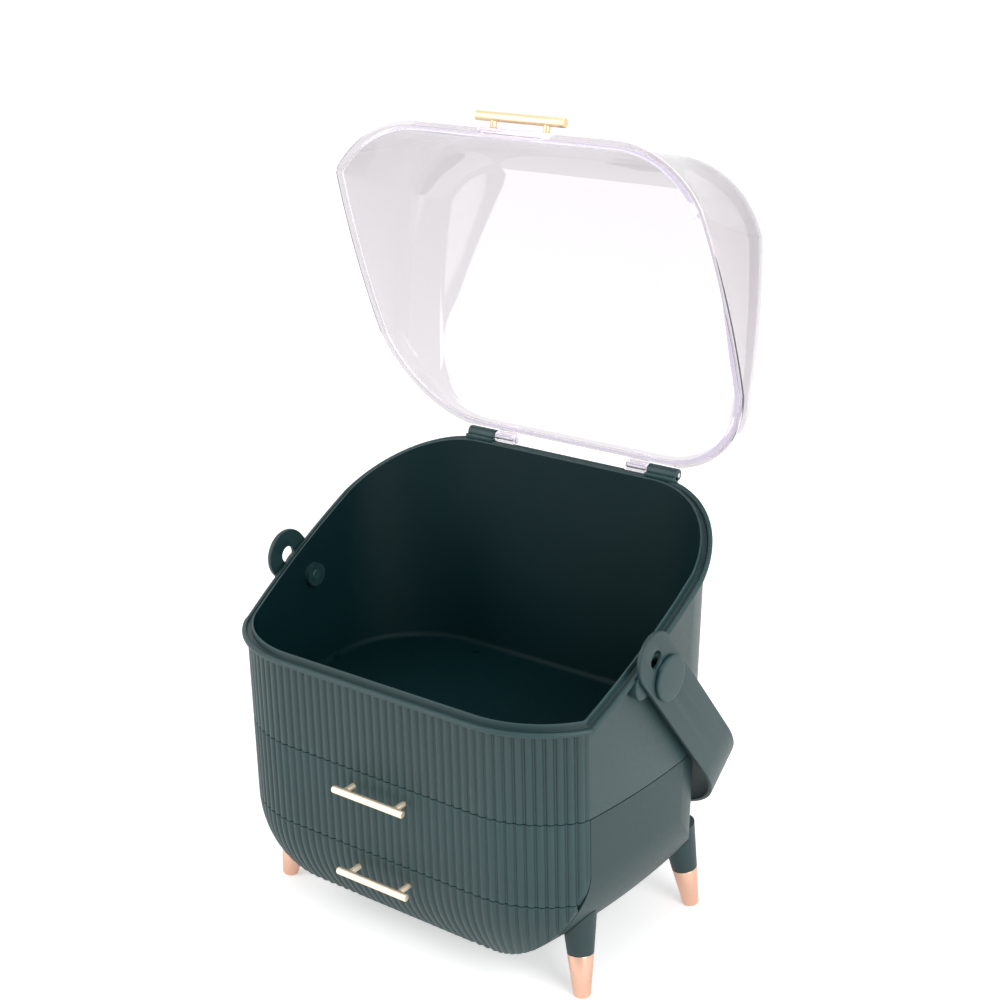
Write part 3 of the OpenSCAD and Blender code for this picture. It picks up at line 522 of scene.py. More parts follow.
def rounded_rod(d, low, high, r, steps=4):
    """Profile of a rod with rounded ends, for lathe."""
    arcs = [math.radians(90 * i / steps) for i in range(steps + 1)]
    lower = [(d / 2 - r + r * math.sin(a), low + r - r * math.cos(a)) for a in arcs]
    upper = [(d / 2 - r + r * math.cos(a), high - r + r * math.sin(a)) for a in arcs]
    return [(0, low)] + lower + upper + [(0, high)]


def block(low, high, r, segments=3):
    """A box with rounded edges."""
    bm = bmesh.new()
    bmesh.ops.create_cube(bm, size=1)
    low, high = np.array(low, float), np.array(high, float)
    for v in bm.verts:
        v.co = Vector(low + (np.array(v.co) + 0.5) * (high - low))
    bmesh.ops.bevel(bm, geom=bm.edges[:], offset=r, segments=segments, profile=0.5, affect="EDGES")
    points = np.array([v.co[:] for v in bm.verts])
    faces = [[v.index for v in f.verts] for f in bm.faces]
    bm.free()
    return points, faces


def piece(name, parts, material, body, nodes, sharp=35, turn=None, second=None, second_faces=None):
    """One object of the model, made of parts in millimetres from the middle line of the body.

    The faces of the first part with numbers in second_faces get the second material.
    """
    points, faces, base = [], [], 0
    for part_points, part_faces in parts:
        points.append(part_points)
        faces += [[i + base for i in f] for f in part_faces]
        base += len(part_points)
    points = np.vstack(points)
    if turn is not None:
        points = moved(points, turn)
    middle = Sizes("body").middle_y
    mesh = bpy.data.meshes.new(name)
    mesh.from_pydata(((points + [0, middle, 0]) / 1000).tolist(), [], faces)
    mesh.validate()
    mesh.shade_smooth()
    mesh.set_sharp_from_angle(angle=math.radians(sharp))
    mesh.materials.append(material)
    if second is not None:
        mesh.materials.append(second)
        for i in second_faces:
            mesh.polygons[i].material_index = 1
    obj = bpy.data.objects.new(name, mesh)
    bpy.context.scene.collection.objects.link(obj)
    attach(obj, body)
    if nodes:
        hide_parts(*nodes)
    return obj


# Shader node groups


def new_group(name, inputs, outputs):
    """An empty shader node group with named sockets."""
    tree = bpy.data.node_groups.new(name, "ShaderNodeTree")
    for label, kind, default in inputs:
        socket = tree.interface.new_socket(label, in_out="INPUT", socket_type=kind)
        if default is not None:
            socket.default_value = default
    for label, kind in outputs:
        tree.interface.new_socket(label, in_out="OUTPUT", socket_type=kind)
    return tree, tree.nodes.new("NodeGroupInput"), tree.nodes.new("NodeGroupOutput")


def add(tree, kind, values=None, **links):
    """A node with plain settings in values, and links or numbers for its inputs."""
    node = tree.nodes.new(kind)
    for key, value in (values or {}).items():
        setattr(node, key, value)
    for key, value in links.items():
        key = int(key[1:]) if key[0] == "i" and key[1:].isdigit() else key.replace("_", " ")
        socket = node.inputs[key]
        if isinstance(value, bpy.types.NodeSocket):
            tree.links.new(value, socket)
        else:
            socket.default_value = value
    return node


def moulded_plastic():
    """Matt moulded plastic: faint clouding, a fine eroded grain and a roughness that varies a little."""
    if "Moulded plastic" in bpy.data.node_groups:
        return bpy.data.node_groups["Moulded plastic"]
    tree, inp, out = new_group(
        "Moulded plastic",
        [
            ("Vector", "NodeSocketVector", None),
            ("Colour", "NodeSocketColor", (0.1, 0.1, 0.1, 1)),
            ("Clouding", "NodeSocketFloat", 0.06),
            ("Roughness", "NodeSocketFloat", 0.5),
            ("Grain", "NodeSocketFloat", 1.0),
        ],
        [("Colour", "NodeSocketColor"), ("Roughness", "NodeSocketFloat"), ("Height", "NodeSocketFloat")],
    )
    link = tree.links.new
    cloud = add(tree, "ShaderNodeTexNoise", Scale=26.0, Detail=4.0, Roughness=0.55, Vector=inp.outputs["Vector"])
    fine = add(tree, "ShaderNodeTexNoise", Scale=1500.0, Detail=2.0, Roughness=0.6, Vector=inp.outputs["Vector"])
    medium = add(tree, "ShaderNodeTexNoise", Scale=420.0, Detail=3.0, Roughness=0.5, Vector=inp.outputs["Vector"])
    swing = add(tree, "ShaderNodeMath", {"operation": "MULTIPLY_ADD"}, i0=cloud.outputs["Fac"], i1=2.0, i2=-1.0)
    amount = add(tree, "ShaderNodeMath", {"operation": "MULTIPLY"}, i0=swing.outputs[0], i1=inp.outputs["Clouding"])
    speck = add(tree, "ShaderNodeMath", {"operation": "MULTIPLY_ADD"}, i0=fine.outputs["Fac"], i1=0.05, i2=0.975)
    bright = add(tree, "ShaderNodeMath", {"operation": "ADD"}, i0=speck.outputs[0], i1=amount.outputs[0])
    shade = add(
        tree, "ShaderNodeHueSaturation", Value=bright.outputs[0], Color=inp.outputs["Colour"]
    )
    link(shade.outputs["Color"], out.inputs["Colour"])
    rough = add(tree, "ShaderNodeMath", {"operation": "MULTIPLY_ADD"}, i0=medium.outputs["Fac"], i1=0.14, i2=-0.07)
    total = add(tree, "ShaderNodeMath", {"operation": "ADD"}, i0=rough.outputs[0], i1=inp.outputs["Roughness"])
    link(total.outputs[0], out.inputs["Roughness"])
    both = add(tree, "ShaderNodeMath", {"operation": "MULTIPLY_ADD"}, i0=medium.outputs["Fac"], i1=0.6,
               i2=fine.outputs["Fac"])
    height = add(tree, "ShaderNodeMath", {"operation": "MULTIPLY"}, i0=both.outputs[0], i1=inp.outputs["Grain"])
    link(height.outputs[0], out.inputs["Height"])
    return tree


def drawn_metal():
    """Drawn or turned metal: long fine lines in the direction that Stretch leaves small."""
    if "Drawn metal" in bpy.data.node_groups:
        return bpy.data.node_groups["Drawn metal"]
    tree, inp, out = new_group(
        "Drawn metal",
        [
            ("Vector", "NodeSocketVector", None),
            ("Stretch", "NodeSocketVector", (1, 60, 60)),
            ("Colour", "NodeSocketColor", (0.8, 0.7, 0.5, 1)),
            ("Roughness", "NodeSocketFloat", 0.2),
        ],
        [("Colour", "NodeSocketColor"), ("Roughness", "NodeSocketFloat"), ("Height", "NodeSocketFloat")],
    )
    link = tree.links.new
    wide = add(tree, "ShaderNodeVectorMath", {"operation": "MULTIPLY"}, i0=inp.outputs["Vector"],
               i1=inp.outputs["Stretch"])
    lines = add(tree, "ShaderNodeTexNoise", Scale=40.0, Detail=5.0, Roughness=0.7, Vector=wide.outputs[0])
    smear = add(tree, "ShaderNodeTexNoise", Scale=60.0, Detail=2.0, Vector=inp.outputs["Vector"])
    light = add(tree, "ShaderNodeMath", {"operation": "MULTIPLY_ADD"}, i0=lines.outputs["Fac"], i1=0.12, i2=0.94)
    shade = add(tree, "ShaderNodeHueSaturation", Value=light.outputs[0], Color=inp.outputs["Colour"])
    link(shade.outputs["Color"], out.inputs["Colour"])
    part = add(tree, "ShaderNodeMath", {"operation": "MULTIPLY_ADD"}, i0=lines.outputs["Fac"], i1=0.1,
               i2=inp.outputs["Roughness"])
    rough = add(tree, "ShaderNodeMath", {"operation": "MULTIPLY_ADD"}, i0=smear.outputs["Fac"], i1=0.08,
                i2=part.outputs[0])
    link(rough.outputs[0], out.inputs["Roughness"])
    link(lines.outputs["Fac"], out.inputs["Height"])
    return tree


def ridge_painted_shading():
    """Painted light and shade: ridges a little lighter and hollows a little darker, from the bend of the surface,
    standing in for how light falls on the ribs.
    """
    if "Ridge wear" in bpy.data.node_groups:
        return bpy.data.node_groups["Ridge wear"]
    tree, inp, out = new_group(
        "Ridge wear",
        [
            ("Colour", "NodeSocketColor", (0.1, 0.1, 0.1, 1)),
            ("Amount", "NodeSocketFloat", 0.5),
        ],
        [("Colour", "NodeSocketColor"), ("Mask", "NodeSocketFloat")],
    )
    link = tree.links.new
    geometry = add(tree, "ShaderNodeNewGeometry")
    mask = add(tree, "ShaderNodeMapRange", i1=0.44, i2=0.56, i3=-1.0, i4=1.0,
               Value=geometry.outputs["Pointiness"])
    amount = add(tree, "ShaderNodeMath", {"operation": "MULTIPLY_ADD"}, i0=mask.outputs[0],
                 i1=inp.outputs["Amount"], i2=1.0)
    shade = add(tree, "ShaderNodeHueSaturation", Value=amount.outputs[0], Color=inp.outputs["Colour"])
    link(shade.outputs["Color"], out.inputs["Colour"])
    link(mask.outputs[0], out.inputs["Mask"])
    return tree


def handling_marks():
    """Clear plastic as moulded and touched: a slow ripple and a few faint smears."""
    if "Handling marks" in bpy.data.node_groups:
        return bpy.data.node_groups["Handling marks"]
    tree, inp, out = new_group(
        "Handling marks",
        [("Vector", "NodeSocketVector", None), ("Roughness", "NodeSocketFloat", 0.03)],
        [("Roughness", "NodeSocketFloat"), ("Height", "NodeSocketFloat")],
    )
    link = tree.links.new
    ripple = add(tree, "ShaderNodeTexNoise", Scale=9.0, Detail=1.0, Vector=inp.outputs["Vector"])
    smear = add(tree, "ShaderNodeTexNoise", Scale=30.0, Detail=5.0, Roughness=0.65, Vector=inp.outputs["Vector"])
    dull = add(tree, "ShaderNodeMapRange", i1=0.52, i2=0.75, i3=0.0, i4=0.05, Value=smear.outputs["Fac"])
    rough = add(tree, "ShaderNodeMath", {"operation": "ADD"}, i0=dull.outputs[0], i1=inp.outputs["Roughness"])
    link(rough.outputs[0], out.inputs["Roughness"])
    link(ripple.outputs["Fac"], out.inputs["Height"])
    return tree


def new_material(name):
    """A material with its shader, output and object coordinates."""
    material = bpy.data.materials.new(name)
    material.use_nodes = True
    tree = material.node_tree
    tree.nodes.clear()
    out = tree.nodes.new("ShaderNodeOutputMaterial")
    shader = tree.nodes.new("ShaderNodeBsdfPrincipled")
    tree.links.new(shader.outputs[0], out.inputs["Surface"])
    place = tree.nodes.new("ShaderNodeTexCoord")
    return material, tree, shader, place.outputs["Object"]


def rgba(value):
    return (*value, 1.0)


def bumped(tree, shader, height, distance, strength=1.0):
    bump = add(tree, "ShaderNodeBump", Height=height, Distance=distance, Strength=strength)
    tree.links.new(bump.outputs[0], shader.inputs["Normal"])


def plastic(name, base, roughness, clouding=0.05, grain=1.0, wear=None, specular=0.5):
    """Matt moulded plastic in one colour; the ridge amount, when given, paints a highlight on the ridges and shade
    in the hollows.
    """
    if name in bpy.data.materials:
        return bpy.data.materials[name]
    material, tree, shader, place = new_material(name)
    look = add(tree, "ShaderNodeGroup", {"node_tree": moulded_plastic()}, Vector=place, Colour=rgba(base),
               Clouding=clouding, Roughness=roughness, Grain=grain)
    shown = look.outputs["Colour"]
    # Painted highlight on the ridges and painted shade in the hollows, from the bend of the surface.
    if wear is not None:
        ridge = add(tree, "ShaderNodeGroup", {"node_tree": ridge_painted_shading()}, Colour=shown, Amount=wear)
        shown = ridge.outputs["Colour"]
    tree.links.new(shown, shader.inputs["Base Color"])
    tree.links.new(look.outputs["Roughness"], shader.inputs["Roughness"])
    shader.inputs["Specular IOR Level"].default_value = specular
    shader.inputs["IOR"].default_value = 1.5
    bumped(tree, shader, look.outputs["Height"], 0.00004, 0.6)
    return material


def metal(name, base, roughness, stretch):
    """Drawn or turned metal in one colour."""
    if name in bpy.data.materials:
        return bpy.data.materials[name]
    material, tree, shader, place = new_material(name)
    look = add(tree, "ShaderNodeGroup", {"node_tree": drawn_metal()}, Vector=place, Stretch=stretch,
               Colour=rgba(base), Roughness=roughness)
    tree.links.new(look.outputs["Colour"], shader.inputs["Base Color"])
    tree.links.new(look.outputs["Roughness"], shader.inputs["Roughness"])
    shader.inputs["Metallic"].default_value = 1.0
    bumped(tree, shader, look.outputs["Height"], 0.00002, 0.3)
    return material


def clear_plastic(name, f):
    """Clear moulded plastic of the lid, with a painted pale glow that stands in for light caught inside its walls.
    """
    if name in bpy.data.materials:
        return bpy.data.materials[name]
    material, tree, shader, place = new_material(name)
    look = add(tree, "ShaderNodeGroup", {"node_tree": handling_marks()}, Vector=place, Roughness=0.02)
    shader.inputs["Base Color"].default_value = rgba(f.clear)
    shader.inputs["Transmission Weight"].default_value = 1.0
    shader.inputs["IOR"].default_value = 1.49
    path = tree.nodes.new("ShaderNodeLightPath")
    caught = add(tree, "ShaderNodeMapRange", Value=path.outputs["Ray Depth"], i1=float(f.glow_start),
                 i2=float(f.glow_full), i3=0.0, i4=1.0)
    # Painted glow: the lid emits this colour once a ray has crossed its walls several times.
    shader.inputs["Emission Color"].default_value = rgba(f.caught_light_glow)
    tree.links.new(caught.outputs[0], shader.inputs["Emission Strength"])
    tree.links.new(look.outputs["Roughness"], shader.inputs["Roughness"])
    bumped(tree, shader, look.outputs["Height"], 0.0006, 0.15)
    return material


def body_green():
    f = Sizes("finishes")
    # The ribs of the body get a painted highlight on their crests and painted shade in their valleys.
    return plastic("Body green", f.green, f.body_roughness, wear=0.22)


# Painted shade: a darker copy of the body's plastic for the inside of the bin.
def shaded_inner_green():
    f = Sizes("finishes")
    return plastic("Inner green", f.green_inner, f.inner_roughness, specular=0.12)


def deep_green():
    f = Sizes("finishes")
    return plastic("Deep green", f.green_deep, f.body_roughness + 0.04)


def pale_gold():
    f = Sizes("finishes")
    return metal("Pale gold", f.gold, f.bar_roughness, (1, 60, 60))


def lid_gold():
    f = Sizes("finishes")
    return metal("Lid gold", f.lid_gold, f.bar_roughness - 0.2, (1, 60, 60))


def dress(nodes, material):
    """Gives CAD nodes that stay in view their finish."""
    for name in nodes:
        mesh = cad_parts[name].data
        mesh.materials.clear()
        mesh.materials.append(material)


def rib_stations(plan):
    """Lengths along the front at which the ribs bend."""
    k = plan.k
    foot = math.sqrt(k.radius**2 - (k.radius - k.rise) ** 2)
    aside = [0, 0.35, 0.62, 0.8, 0.93, 1.0]
    places = {0.0}
    for i in range(k.flat + k.corner + 1):
        for a in aside:
            places |= {round(i * k.pitch + a * foot, 4), round(i * k.pitch - a * foot, 4)}
    return sorted(p for p in places if p >= 0)


def whole_stations(plan):
    rear = [62.2, 61.9, 54, 45.1, 44.8, 30, 15, 0]
    return Stations(rib_stations(plan), 2, 5, 36, 24, rear)


def plain_stations(plan):
    front = [0, 12, 25, 33, 37, 50, 62, 70, plan.front_x] + [plan.front_x + 3 * i for i in range(1, 21)]
    rear = [62.2, 61.9, 54, 45.1, 44.8, 30, 15, 0]
    return Stations(front, 2, 5, 36, 30, rear)


class ORGANIZER_OT_bin(bpy.types.Operator):
    """Build the bin with its ribbed front, lip, groove, flange and hinge knuckles"""

    bl_idname = "organizer.make_bin"
    bl_label = "Bin"

    def execute(self, context):
        plan = Plan()
        r, b, l, h = plan.r, plan.b, plan.l, Sizes("handle")
        st = whole_stations(plan)
        low = b.seam_z + b.seam_gap / 2
        out, up = r.flange_out, r.flange_h
        lip_out = r.lip_t - r.wall
        groove = r.flange_out - r.flange_edge
        rows = [
            plan.body_row(st, -r.wall, low),
            plan.body_row(st, -0.5, low, 1),
            plan.body_row(st, -0.15, low + 0.15, 1),
            plan.body_row(st, 0, low + 0.5, 1),
            plan.rim_row(st, 0, -up - 0.8, 1),
            plan.rim_row(st, 0.25, -up - 0.25, 1),
            plan.rim_row(st, 0.9, -up, 1),
        ]
        rim = [
            (out - 1.0, -up), (out - 0.4, -up + 0.2), (out - 0.1, -up + 0.5), (out, -up + 0.9),
            (out, -1.3), (out - 0.15, -0.8), (out - 0.5, -0.3), (out - 1.1, -0.08), (out - 1.7, 0),
            (groove + 0.6, 0), (groove + 0.2, -0.15), (groove, -0.5),
            (groove - 0.1, -r.groove_d + 0.4), (groove - 0.4, -r.groove_d + 0.1), (groove - 0.8, -r.groove_d),
            (lip_out + 0.6, -r.groove_d), (lip_out + 0.2, -r.groove_d + 0.15), (lip_out, -r.groove_d + 0.5),
            (lip_out, r.lip_h - 0.6), (lip_out - 0.15, r.lip_h - 0.2), (lip_out - 0.5, r.lip_h),
            (-r.wall + 0.5, r.lip_h), (-r.wall + 0.15, r.lip_h - 0.2), (-r.wall, r.lip_h - 0.6),
        ]
        for o, dz in rim:
            row = plan.rim_row(st, o, dz)
            near_lug = (row[:, 0] > 44.9) & (row[:, 0] < 62) & (row[:, 1] > 0)
            row[near_lug, 1] = np.minimum(row[near_lug, 1], l.hinge_y - l.lug_r - 1)
            rows.append(row)
        fillet = 4.0
        for i in range(7):
            a = math.radians(15 * i)
            rows.append(
                plan.body_row(st, -r.wall - fillet * (1 - math.cos(a)), r.floor_z + fillet * (1 - math.sin(a)))
            )
        loops = [around(row) for row in rows]
        for s in (0.72, 0.42, 0.16):
            loops.append(loops[30 + 7] * [s, s, 1])
        parts = [skin(loops, start=(0, 0, low), end=(0, 0, r.floor_z))]
        wall_x = plan.bow_x + math.sqrt(b.side_bow_r**2 - (h.pivot_y - b.side_bow_y) ** 2)
        arm_x = b.width / 2 + r.flange_out + h.arm_gap
        for s in (-1, 1):
            x0 = l.knuckle_x if s > 0 else -l.knuckle_x - l.knuckle_len
            along = Matrix.Translation((x0, l.hinge_y, plan.hinge_z)) @ Matrix.Rotation(math.pi / 2, 4, "Y")
            parts.append(lathe(rounded_rod(2 * l.knuckle_r, 0, l.knuckle_len, 0.5), along, 48))
            parts.append(
                block(
                    (x0, l.hinge_y - 6.5, plan.hinge_z - 7),
                    (x0 + l.knuckle_len, l.hinge_y - 0.1, plan.hinge_z - 0.3),
                    0.5,
                )
            )
            out_way = Matrix.Translation((s * (wall_x - 1), h.pivot_y - 21, h.pivot_z + 1)) @ Matrix.Rotation(
                s * math.pi / 2, 4, "Y"
            )
            parts.append(lathe(rounded_rod(16, 0, arm_x - 0.3 - wall_x + 1, 0.8), out_way, 48))
        columns = len(loops[0])
        first_inner, last_inner = 29 * columns, (len(loops) - 1) * columns
        inner = list(range(first_inner, last_inner)) + list(range(last_inner + columns, last_inner + 2 * columns))
        # The inner walls and floor of the bin take the darker green, painted shade of its hollow.
        piece(
            "bin_shell", parts, body_green(), "body", ["bin"], second=shaded_inner_green(), second_faces=inner
        )
        return {"FINISHED"}


class ORGANIZER_OT_drawer_fronts(bpy.types.Operator):
    """Build the two ribbed drawer fronts, the lower one rolled under at its foot"""

    bl_idname = "organizer.make_drawer_fronts"
    bl_label = "Drawer fronts"

    def execute(self, context):
        plan = Plan()
        b, d = plan.b, Sizes("drawers")
        st = whole_stations(plan).front_only()
        low, high = b.drawer_seam_z + b.seam_gap / 2, b.seam_z - b.seam_gap / 2
        heights = [
            (-0.5, low, 1), (-0.15, low + 0.15, 1), (0, low + 0.5, 1), (0, low + 6, 1), (0, low + 12, 1),
            (0, b.side_curve_z, 1), (0, high - 0.5, 1), (-0.15, high - 0.15, 1), (-0.5, high, 1),
            (-d.front_t, high, 0), (-d.front_t, b.side_curve_z, 0), (-d.front_t, low + 8, 0), (-d.front_t, low, 0),
        ]
        rows = [across(plan.body_row(st, o, z, ribs)) for o, z, ribs in heights]
        upper = skin(rows, closed=False, wrap=True, caps=True)
        piece("upper_drawer_face", [upper], body_green(), "upper_drawer", ["upper_drawer_front"])
        lower = self.rolled_front(plan, d)
        piece("lower_drawer_face", [lower], body_green(), "lower_drawer", ["lower_drawer_front"])
        return {"FINISHED"}

    def rolled_front(self, plan, d):
        """The lower front: each station follows the roll until the sides or the belly end it."""
        b = plan.b
        top = b.drawer_seam_z - b.seam_gap / 2
        st = whole_stations(plan).front_only()
        edge = plan.body_row(st, 0, top, 1)[st.kind == 2][0]
        last_a = math.atan2(edge[0] - plan.front_x, plan.corner_y - edge[1])
        last_s = plan.front_x + last_a * b.front_corner_r
        s = np.array([p for p in rib_stations(plan) if p < last_s - 0.05] + [last_s])
        s = np.concatenate([-s[:0:-1], s])
        turn = np.maximum(0, np.abs(s) - plan.front_x) / b.front_corner_r
        flat = np.minimum(np.abs(s), plan.front_x)
        hub = b.front_corner_r - b.front_curve_r

        def surface(beta, out, ribs):
            reach = hub + b.front_curve_r * np.cos(beta)
            shrink = np.where(turn > 0, reach / b.front_corner_r, 1.0)
            r = b.front_curve_r + out + ribs * plan.relief(np.abs(s), shrink)
            reach = hub + r * np.cos(beta)
            x = np.sign(s) * (flat + reach * np.sin(turn))
            return np.stack([x, plan.corner_y - reach * np.cos(turn), b.drawer_seam_z - r * np.sin(beta)], axis=-1)

        def last_beta(out, ribs):
            lo, hi = np.full(len(s), 1e-4), np.full(len(s), math.radians(75))
            for _ in range(50):
                mid = (lo + hi) / 2
                inside = plan.low_form(surface(mid, out, ribs)) < 0
                lo, hi = np.where(inside, mid, lo), np.where(inside, hi, mid)
            return lo

        first = math.asin(b.seam_gap / 2 / b.front_curve_r)
        end = np.maximum(last_beta(0, 1), first + 0.002)
        rows = []
        for o, shift in ((-0.5, 0.0), (-0.15, 0.15), (0.0, 0.5)):
            rows.append(surface(np.minimum(first + shift / b.front_curve_r, end), o, 1))
        steps = 44
        for i in range(1, steps + 1):
            rows.append(surface(first + 0.0067 + (end - 0.004 - first - 0.0067) * i / steps, 0, 1))
        edge_row = surface(end, 0, 1)
        tuck = edge_row + [0, 0.8, 0]
        rows += [edge_row * 0.5 + rows[-1] * 0.5 + [0, 0.12, 0.04], edge_row + [0, 0.45, 0.02], tuck]
        inner_end = last_beta(-d.front_t, 0)
        inner_end = np.maximum(inner_end, first + 0.002)
        inner = surface(inner_end, -d.front_t, 0)
        inner[:, 1] = np.maximum(inner[:, 1], tuck[:, 1])
        rows.append(inner)
        for i in range(1, 9):
            rows.append(surface(inner_end + (first - inner_end) * i / 8, -d.front_t, 0))
        rows = rows[::1]
        return skin(rows[::-1], closed=False, wrap=True, caps=True)


class ORGANIZER_OT_pull_bars(bpy.types.Operator):
    """Build the two drawer bars with rounded ends and their posts"""

    bl_idname = "organizer.make_pull_bars"
    bl_label = "Drawer bars"

    def execute(self, context):
        plan = Plan()
        b, d = plan.b, Sizes("drawers")
        bar_y = -b.front_depth - d.bar_reach
        for drawer, z in (("upper", d.upper_bar_z), ("lower", d.lower_bar_z)):
            along = Matrix.Translation((0, bar_y, z)) @ Matrix.Rotation(math.pi / 2, 4, "Y")
            bar = lathe(rounded_rod(d.bar_d, -d.bar_len / 2, d.bar_len / 2, 0.7), along, 64)
            piece(drawer + "_bar_rod", [bar], pale_gold(), drawer + "_drawer", [drawer + "_drawer_bar"])
            step = plan.step_in(z, b.drawer_seam_z, b.front_curve_r - d.front_t)
            face_y = -b.front_depth + d.front_t + step
            posts = []
            for s in (-1, 1):
                foot = face_y - 0.1
                into = Matrix.Translation((s * d.post_gap / 2, foot, z)) @ Matrix.Rotation(math.pi / 2, 4, "X")
                reach = foot - bar_y
                half = d.post_d / 2
                neck = reach - d.bar_d / 2
                profile = [(0, 0), (half, 0), (half, neck - 1.2), (half * 0.9, neck - 0.6),
                           (half, neck + 0.3), (half, reach - 0.2), (0, reach)]
                posts.append(lathe(profile, into, 40))
            piece(drawer + "_bar_legs", posts, pale_gold(), drawer + "_drawer", [drawer + "_bar_posts"])
        return {"FINISHED"}


def opened(plan):
    """The turn that takes the lid from shut to its open rest."""
    axis = Matrix.Translation((0, plan.l.hinge_y, plan.hinge_z))
    return axis @ Matrix.Rotation(-plan.l.open_angle, 4, "X") @ axis.inverted()


class ORGANIZER_OT_lid(bpy.types.Operator):
    """Build the clear lid with its flange, pad and hinge lugs, and its bar"""

    bl_idname = "organizer.make_lid"
    bl_label = "Lid"

    def execute(self, context):
        plan = Plan()
        l, b, r = plan.l, plan.b, plan.r
        f = Sizes("finishes")
        st = plain_stations(plan)
        g, up = l.clear, l.flange_h
        reach = l.flange_out - l.out
        rear_limit = l.hinge_y - l.knuckle_r - 1.3
        arcs = [math.radians(90 * i / 14) for i in range(15)]
        # Lowest heights of the rounded wall inside and outside, where the rim stands high at the rear
        inner_foot = plan.lid_low_row(st, l.wall, g + 0.8)[:, 2]
        outer_foot = plan.lid_low_row(st, 0, g + up + 1)[:, 2]
        rise = 0.4
        rows = []
        for a in reversed(arcs):
            z = l.top_z - l.edge_r + (l.edge_r - l.wall) * math.sin(a)
            rows.append(plan.lid_row(st, l.wall, np.maximum(z, inner_foot + rise * math.sin(a))))
        rows.append(plan.lid_low_row(st, l.wall, g + 0.4))
        rows.append(plan.lid_low_row(st, l.wall - 0.4, g))
        flange = [
            (reach - 0.8, g), (reach - 0.2, g + 0.2), (reach, g + 0.8), (reach, g + up - 0.8),
            (reach - 0.2, g + up - 0.2), (reach - 0.8, g + up),
            (0.9, g + up), (0.25, g + up + 0.25), (0, g + up + 0.9),
        ]
        for o, dz in flange:
            row = plan.lid_low_row(st, -o, dz)
            row[:, 1] = np.minimum(row[:, 1], max(rear_limit, b.rear_depth + l.out))
            rows.append(row)
        for a in arcs:
            z = l.top_z - l.edge_r + l.edge_r * math.sin(a)
            rows.append(plan.lid_row(st, 0, np.maximum(z, outer_foot + rise * math.sin(a))))
        loops = [around(row) for row in rows]
        for row, z, front in ((loops[0], l.top_z - l.wall, True), (loops[-1], l.top_z, False)):
            inner = [row * [s, s, 1] for s in (0.9, 0.6, 0.3)]
            loops = inner[::-1] + loops if front else loops + inner
        parts = [skin(loops, start=(0, 0, l.top_z - l.wall), end=(0, 0, l.top_z))]
        pad_z = r.rim_z + l.bar_above + 4
        parts.append(
            block(
                (-l.pad_w / 2, -b.front_depth - l.flange_out, r.rim_z + g),
                (l.pad_w / 2, -b.front_depth + 0.2, pad_z),
                1.6,
            )
        )
        for s in (-1, 1):
            mid = s * (l.knuckle_x - 0.5 - l.lug_len / 2)
            along = Matrix.Translation((mid, l.hinge_y, plan.hinge_z)) @ Matrix.Rotation(math.pi / 2, 4, "Y")
            bore, half = l.pin_d / 2 + 0.05, l.lug_len / 2
            ring = [(bore, -half), (l.lug_r - 0.4, -half), (l.lug_r, -half + 0.4), (l.lug_r, half - 0.4),
                    (l.lug_r - 0.4, half), (bore, half)]
            parts.append(lathe(ring, along, 40))
            parts.append(
                block(
                    (mid - half, b.rear_depth + 0.5, plan.hinge_z + 1.8),
                    (mid + half, l.hinge_y - 0.2, plan.hinge_z + 3.4),
                    0.4,
                )
            )
        turn = opened(plan)
        clear = clear_plastic("Clear lid", f)
        piece("lid_cover", parts, clear, "lid", ["lid_shell"], turn=turn)
        bar_y, bar_z = -b.front_depth - l.bar_ahead, r.rim_z + l.bar_above
        along = Matrix.Translation((0, bar_y, bar_z)) @ Matrix.Rotation(math.pi / 2, 4, "Y")
        bar = lathe(rounded_rod(l.bar_d, -l.bar_len / 2, l.bar_len / 2, 0.8), along, 64)
        piece("lid_bar_rod", [bar], lid_gold(), "lid", ["lid_bar"], turn=turn)
        posts = []
        for s in (-1, 1):
            face = -b.front_depth - l.flange_out
            into = Matrix.Translation((s * l.post_gap / 2, face, bar_z)) @ Matrix.Rotation(math.pi / 2, 4, "X")
            posts.append(lathe(rounded_rod(l.post_d, 0, face - bar_y, 0.3), into, 40))
        piece("lid_bar_legs", posts, lid_gold(), "lid", ["lid_bar_posts"], turn=turn)
        return {"FINISHED"}


